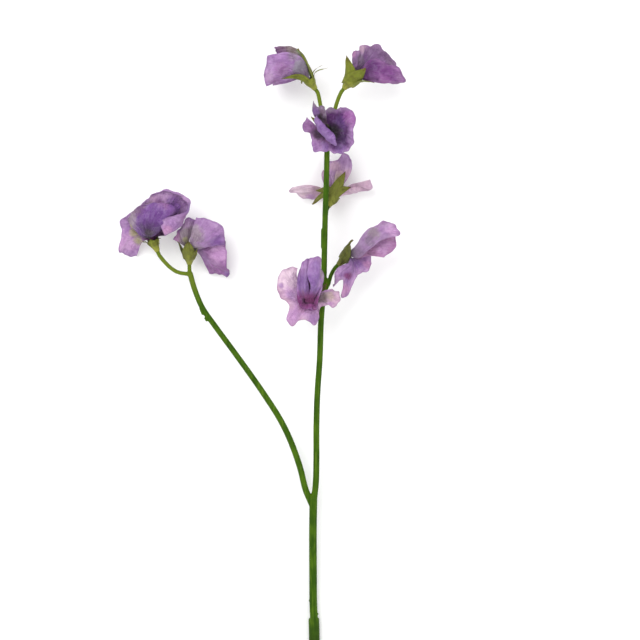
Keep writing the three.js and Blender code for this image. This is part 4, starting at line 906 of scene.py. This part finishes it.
# ---------------------------------------------------------------- lines and sheets
def smooth_point(points, share):
    """A point on the centripetal Catmull-Rom curve through points, share from 0 to 1."""
    reach = share * (len(points) - 1)
    index = min(int(reach), len(points) - 2)
    weight = reach - index
    second, third = points[index], points[index + 1]
    first = points[index - 1] if index > 0 else 2 * second - third
    fourth = points[index + 2] if index + 2 < len(points) else 2 * third - second
    before, here, after = [
        max((b - a).length, TINY) ** 0.5 for a, b in ((first, second), (second, third), (third, fourth))
    ]
    leave = ((second - first) / before - (third - first) / (before + here) + (third - second) / here) * here
    arrive = ((third - second) / here - (fourth - second) / (here + after) + (fourth - third) / after) * here
    square, cube = weight ** 2, weight ** 3
    return (
        second * (2 * cube - 3 * square + 1)
        + leave * (cube - 2 * square + weight)
        + arrive * (cube - square)
        + third * (3 * square - 2 * cube)
    )


def even_points(points, count):
    """count + 1 points at even distances along the curve through points."""
    fine = [smooth_point(points, k / CURVE_STEPS) for k in range(CURVE_STEPS + 1)]
    lengths = [0.0]
    for a, b in zip(fine, fine[1:]):
        lengths.append(lengths[-1] + (b - a).length)
    spaced = []
    at = 0
    for k in range(count + 1):
        target = lengths[-1] * k / count
        while at < len(fine) - 2 and lengths[at + 1] < target:
            at += 1
        share = (target - lengths[at]) / max(lengths[at + 1] - lengths[at], TINY)
        spaced.append(fine[at].lerp(fine[at + 1], share))
    return spaced


def facing(rows, row, column):
    """The way a grid of points faces at one of them."""
    points = rows[row]
    side = points[min(column + 1, len(points) - 1)] - points[max(column - 1, 0)]
    out = rows[min(row + 1, len(rows) - 1)][column] - rows[max(row - 1, 0)][column]
    return side.cross(out).normalized()


def share_layers(bm):
    """The layers that keep each point's share of the way across and along its sheet."""
    layers = bm.verts.layers.float
    return [layers.get(name) or layers.new(name) for name in ("across", "along")]


def add_sheet(bm, rows, thick, along_from=0.0):
    """A thin sheet with its middle on a grid of points in millimetres, and its across and along shares."""
    across_layer, along_layer = share_layers(bm)
    last_row, last_column = len(rows) - 1, len(rows[0]) - 1
    made = bmesh.ops.create_grid(bm, x_segments=last_column, y_segments=last_row, size=0.5)
    for vert in made["verts"]:
        across, along = vert.co.x + 0.5, vert.co.y + 0.5
        vert[across_layer] = across
        vert[along_layer] = along_from + (1 - along_from) * along
        vert.co = rows[round(along * last_row)][round(across * last_column)] * MM
    faces = dict.fromkeys(face for vert in made["verts"] for face in vert.link_faces)
    bmesh.ops.solidify(bm, geom=list(faces), thickness=thick * MM)


def new_piece(name, bm, material, slot, *nodes):
    """The mesh as an object that rides on the spray and stands for its nodes."""
    for face in bm.faces:
        face.smooth = True
    mesh = bpy.data.meshes.new(name)
    bm.to_mesh(mesh)
    bm.free()
    mesh.materials.append(material)
    piece = bpy.data.objects.new(name, mesh)
    bpy.context.scene.collection.objects.link(piece)
    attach(piece, "root")
    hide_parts(*nodes)
    return piece


# ---------------------------------------------------------------- pieces of a bloom
class Axes:
    """A bloom's own axes: forward out of the calyx, top towards the standard, side to its right."""

    def __init__(self, bloom):
        self.foot = Vector(bloom["foot"])
        self.forward = Vector(bloom["aim"]).normalized()
        self.side = Vector(bloom["top"]).cross(self.forward).normalized()
        self.top = self.forward.cross(self.side)
        self.girth = bloom.get("girth", 1.0)

    def swell(self, height):
        """How much wider or slimmer this bloom's cup is than the common one."""
        return 1 + (self.girth - 1) * min(1.0, height / CUP["waist"])

    def place(self, radius, angle, height):
        radius *= self.swell(height)
        return (
            self.foot
            + self.forward * height
            + self.top * (radius * math.cos(angle))
            + self.side * (radius * math.sin(angle))
        )


def petal_rows(bloom, kind, ribs, hand, half):
    """Ribs run from the claw through their own points to the rim, and the blade is drawn smoothly across them."""
    axes = Axes(bloom)
    lines = []
    for k, rib in enumerate(ribs):
        turn = 2 * k / (len(ribs) - 1) - 1
        angle = hand * math.radians(kind["angle"] + turn * half)
        claw = [axes.place(kind["root"], angle, CLAW["from"]), axes.place(kind["radius"], angle, CLAW["to"])]
        lines.append(even_points(claw + [Vector(point) for point in rib], PETAL["rows"]))
    columns = max(PETAL["fewest_columns"], PETAL["columns_per_rib"] * (len(ribs) - 1))
    return [
        [smooth_point([line[j] for line in lines], i / columns) for i in range(columns + 1)]
        for j in range(PETAL["rows"] + 1)
    ]


def worked(rows, frill, waves, seed):
    """The petal's cloth worked up: folds, a frilled and ruffled rim, crumples, an uneven edge."""
    last_row, last_column = len(rows) - 1, len(rows[0]) - 1
    shift = CRUMPLE_SEED * seed
    shaped = []
    for j, row in enumerate(rows):
        along = j / last_row
        loose = max(0.0, (along - STILL) / (1 - STILL))
        shaped_row = []
        for i, point in enumerate(row):
            wave = waves * i / last_column
            fold = Vector((wave * FOLD["per_rib"], FOLD["drift"] * along, seed * FOLD["seed"]))
            ruffle = Vector((wave * RUFFLE["per_rib"], seed * RUFFLE["seed"], RUFFLE["drift"] * along))
            lift = frill * along ** RUFFLE["rim"] * math.cos(2 * math.pi * wave)
            lift += RUFFLE["height"] * loose ** RUFFLE["rim"] * noise.noise(ruffle)
            lift += FOLD["height"] * loose * noise.noise(fold)
            for height, size in CRUMPLES:
                lift += height * loose * noise.noise(point / size + shift)
            out = (point - rows[max(j - 1, 0)][i]).normalized()
            reach = RAGGED["reach"] * along ** RAGGED["rim"] * noise.noise(point / RAGGED["size"] - shift)
            moved = point + facing(rows, j, i) * lift + out * reach
            moved.z = max(moved.z, PETAL["thick"])
            shaped_row.append(moved)
        shaped.append(shaped_row)
    return shaped


def petal(bloom, part, number):
    """One petal of the bloom with that number, in its own cloth: its colours with their painted shade and painted
    highlight.
    """
    kind, hand, seed, slot = PETALS[part]
    name = f"{bloom['name']}_{part}"
    ribs = bloom[part]
    half = bloom.get(part + "_half", kind["half"])
    rows = worked(petal_rows(bloom, kind, ribs, hand, half), kind["frill"], len(ribs) - 1, number + seed)
    bm = bmesh.new()
    add_sheet(bm, rows, PETAL["thick"])
    material = petal_finish(name + "_cloth", *PETAL_COLOURS_AND_PAINTED_LIGHT[bloom["name"]][part], len(ribs))
    return new_piece(name + "_petal", bm, material, slot, name)


def bent(start, bend, end, share):
    """A point on the quadratic curve from start to end that bend pulls on."""
    return start.lerp(bend, share).lerp(bend.lerp(end, share), share)


def cup_radius(height):
    """The cup's outer radius at a height above its foot."""
    for (low, start), (high, end) in zip(CUP["wall"], CUP["wall"][1:]):
        if height <= end:
            return low + (high - low) * (height - start) / (end - start)
    return CUP["wall"][-1][0]


def sepal_rows(axes, tip, lap):
    """A pointed lobe that starts on the cup's wall, follows it to the lip and bends to its tip."""
    end, widest, seat = Vector(tip[:3]), tip[3], tip[4:]
    reach = end - axes.place(0, 0, SEPAL["lip"])
    angle = math.radians(seat[0]) if seat else math.atan2(reach.dot(axes.side), reach.dot(axes.top))
    outward = axes.place(1, angle, 0) - axes.foot
    root, lip = [axes.place(cup_radius(SEPAL[at]), angle, SEPAL[at]) for at in ("from", "lip")]
    length = (end - lip).length
    bend = lip + axes.forward * (SEPAL_BEND["forward"] * length) + outward * (SEPAL_BEND["outward"] * length)
    beyond = [bent(lip, bend, end, (k + 1) / SEPAL["bend_points"]) for k in range(SEPAL["bend_points"])]
    line = even_points([root, lip] + beyond, SEPAL["rows"])
    across = outward.cross(end - lip).normalized()
    rows = []
    for j in range(SEPAL["rows"] + 1):
        share = j / SEPAL["rows"]
        half = SEPAL["tip"] + widest * math.sin(math.pi * (SEPAL_BASE + (1 - SEPAL_BASE) * share))
        row = []
        for i in range(SEPAL["columns"] + 1):
            turn = 2 * i / SEPAL["columns"] - 1
            dip = -(1 - SEPAL_FLATTENS * share) * (turn * half) ** 2 / (2 * cup_radius(SEPAL["lip"]))
            rise = lap * min(1.0, share / SEPAL_BASE)
            groove = MIDRIB["depth"] * math.exp(-(turn * half / MIDRIB["width"]) ** 2)
            groove *= min(1.0, MIDRIB["fades"] * (1 - share))
            wave = Vector((share * SEPAL_RIPPLE["along"], turn * SEPAL_RIPPLE["across"], lap))
            ripple = SEPAL_RIPPLE["height"] * share * noise.noise(end + wave)
            row.append(line[j] + across * (turn * half) + outward * (dip + rise - groove + ripple))
        rows.append(row)
    return rows


def calyx(bloom, material):
    """A cone of a cup, spun round the bloom's axis and flaring to its mouth, with its five sepals."""
    axes = Axes(bloom)
    bm = bmesh.new()
    across_layer, along_layer = share_layers(bm)
    wall = [Vector((radius, 0, height)) for radius, height in CUP["wall"]]
    mouth, floor_radius = wall[-1], cup_radius(CUP["floor"])
    profile = [ORIGIN] + even_points(wall, CUP_MESH["up"]) + [
        Vector((mouth.x - CUP["thick"], 0, mouth.z)),
        Vector((floor_radius - CUP["thick"], 0, CUP["floor"])),
        Vector((0, 0, CUP["floor"])),
    ]
    verts = [bm.verts.new(point) for point in profile]
    edges = [bm.edges.new(pair) for pair in zip(verts, verts[1:])]
    bmesh.ops.spin(bm, geom=verts + edges, cent=ORIGIN, axis=UP, angle=2 * math.pi, steps=CUP_MESH["around"],
                   use_merge=True)
    bmesh.ops.remove_doubles(bm, verts=bm.verts, dist=WELD)
    bmesh.ops.recalc_face_normals(bm, faces=bm.faces)
    basis = Matrix((axes.top, axes.side, axes.forward)).transposed()
    for vert in bm.verts:
        vert[across_layer] = math.atan2(vert.co.y, vert.co.x) / (2 * math.pi) * SEPALS
        vert[along_layer] = CUP_SHADE["mouth"] * vert.co.z / mouth.z
        swell = axes.swell(vert.co.z)
        vert.co = (axes.foot + basis @ Vector((vert.co.x * swell, vert.co.y * swell, vert.co.z))) * MM
    for number, tip in enumerate(bloom["sepals"]):
        rows = sepal_rows(axes, tip, SEPAL_LAPS[number % len(SEPAL_LAPS)])
        add_sheet(bm, rows, SEPAL["thick"], CUP_SHADE["sepal_root"])
    return new_piece(bloom["name"] + "_calyx_lobes", bm, material, "calyx_green", bloom["name"] + "_calyx")


# ---------------------------------------------------------------- the stem
def add_tube(bm, points, radius_at):
    """A closed round tube along a curve, its radius given for each share of its length."""
    line = [Vector(point) for point in points]
    length = sum((b - a).length for a, b in zip(line, line[1:]))
    steps = max(3, round(length / TUBE["ring"]))
    centres = even_points(line, steps)
    turn = (centres[1] - centres[0]).to_track_quat("Z", "Y")
    turns = []
    for k in range(steps + 1):
        ahead = centres[min(k + 1, steps)] - centres[max(k - 1, 0)]
        turn = (turn @ UP).rotation_difference(ahead) @ turn
        turns.append(turn)
    made = bmesh.ops.create_grid(bm, x_segments=TUBE["sides"], y_segments=steps, size=0.5)["verts"]
    for vert in made:
        share = vert.co.y + 0.5
        ring = round(share * steps)
        angle = 2 * math.pi * (vert.co.x + 0.5)
        spoke = Vector((math.cos(angle), math.sin(angle), 0)) * radius_at(share)
        vert.co = (centres[ring] + turns[ring] @ spoke) * MM
    bmesh.ops.remove_doubles(bm, verts=made, dist=WELD * MM)
    bmesh.ops.holes_fill(bm, edges=[edge for edge in bm.edges if edge.is_boundary], sides=0)


def stem(material):
    """Sleeve, stalk, two arms, pedicels and scars, grown into one skin."""
    bm = bmesh.new()
    low, high = STEM["arm"]
    for line, start, end in (
        (SLEEVE, STEM["sleeve"], STEM["sleeve"]), (STALK, STEM["stalk"], STEM["stalk"]),
        (MAIN_ARM, low, high), (SIDE_ARM, low, high),
    ):
        add_tube(bm, line, lambda share: start + (end - start) * share)
    for root, tip, radius in SPURS:
        add_tube(bm, [root, tip], lambda share: radius * (1 - SPUR_TAPER * share))
    for bloom in BLOOMS:
        axes = Axes(bloom)
        path = bloom["pedicel"] + [axes.place(0, 0, -SEAT["below"]), axes.place(0, 0, SEAT["reach"])]
        add_tube(bm, path, lambda share: STEM["pedicel"])
    bmesh.ops.recalc_face_normals(bm, faces=bm.faces)
    loose = new_piece("flower_stem_tubes", bm, material, "stem_green", "stem")
    skin = loose.modifiers.new("skin", "REMESH")
    skin.mode = "VOXEL"
    skin.voxel_size = SKIN["voxel"] * MM
    grown = bpy.data.meshes.new_from_object(loose.evaluated_get(bpy.context.evaluated_depsgraph_get()))
    bpy.data.objects.remove(loose)
    bm = bmesh.new()
    bm.from_mesh(grown)
    for _ in range(SKIN["passes"]):
        bmesh.ops.smooth_vert(bm, verts=bm.verts, factor=SKIN["factor"], use_axis_x=True, use_axis_y=True,
                              use_axis_z=True)
    for vert in bm.verts:
        vert.co.z = max(vert.co.z, 0.0)
    return new_piece("flower_stem", bm, material, "stem_green", "stem")


# ---------------------------------------------------------------- the studio
def floor():
    """A wide sheet of white paper under the spray."""
    bm = bmesh.new()
    bmesh.ops.create_grid(bm, x_segments=1, y_segments=1, size=FLOOR_HALF)
    mesh = bpy.data.meshes.new("studio_floor")
    bm.to_mesh(mesh)
    bm.free()
    paper = Finish("studio_white_paper", roughness=0.9)
    paper.feed("Base Color", paper.mix(paper.clouds(300), *PAPER))
    mesh.materials.append(paper.material)
    plane = bpy.data.objects.new("studio_floor", mesh)
    bpy.context.scene.collection.objects.link(plane)


def soft_light(name, place, size, watts):
    """A square soft box that looks at the spray's middle."""
    lamp = bpy.data.lights.new(name, "AREA")
    lamp.size = size
    lamp.energy = watts
    box = bpy.data.objects.new(name, lamp)
    box.location = place
    box.rotation_euler = (Vector(CAMERA["over"]) - Vector(place)).to_track_quat("-Z", "Y").to_euler()
    bpy.context.scene.collection.objects.link(box)


def studio():
    """The paper, the even air round it and the soft boxes."""
    floor()
    world = bpy.data.worlds.new("studio_air")
    world.use_nodes = True
    world.node_tree.nodes["Background"].inputs["Color"].default_value = (1, 1, 1, 1)
    world.node_tree.nodes["Background"].inputs["Strength"].default_value = AIR
    bpy.context.scene.world = world
    bpy.context.scene.view_settings.view_transform = "Standard"
    for name, place, size, watts in LIGHTS:
        soft_light(name, place, size, watts)


def camera():
    """Straight above the spray."""
    lens = bpy.data.cameras.new("overhead_camera")
    lens.type = "PERSP"
    lens.sensor_width = CAMERA["sensor"]
    lens.lens = CAMERA["lens"]
    lens.clip_end = CAMERA["sees_to"]
    over = Vector(CAMERA["over"])
    holder = bpy.data.objects.new("overhead_camera", lens)
    holder.location = over + Vector((0, 0, CAMERA["lens"] / CAMERA["sensor"] * CAMERA["width"]))
    bpy.context.scene.collection.objects.link(holder)
    bpy.context.scene.camera = holder


# ---------------------------------------------------------------- assembly
camera()
studio()
stem(stem_finish())
greens = {name: calyx_finish(name, *dye) for name, dye in GREENS.items()}
for number, bloom in enumerate(BLOOMS):
    calyx(bloom, greens[bloom["green"]])
    for part in PETALS:
        petal(bloom, part, number)
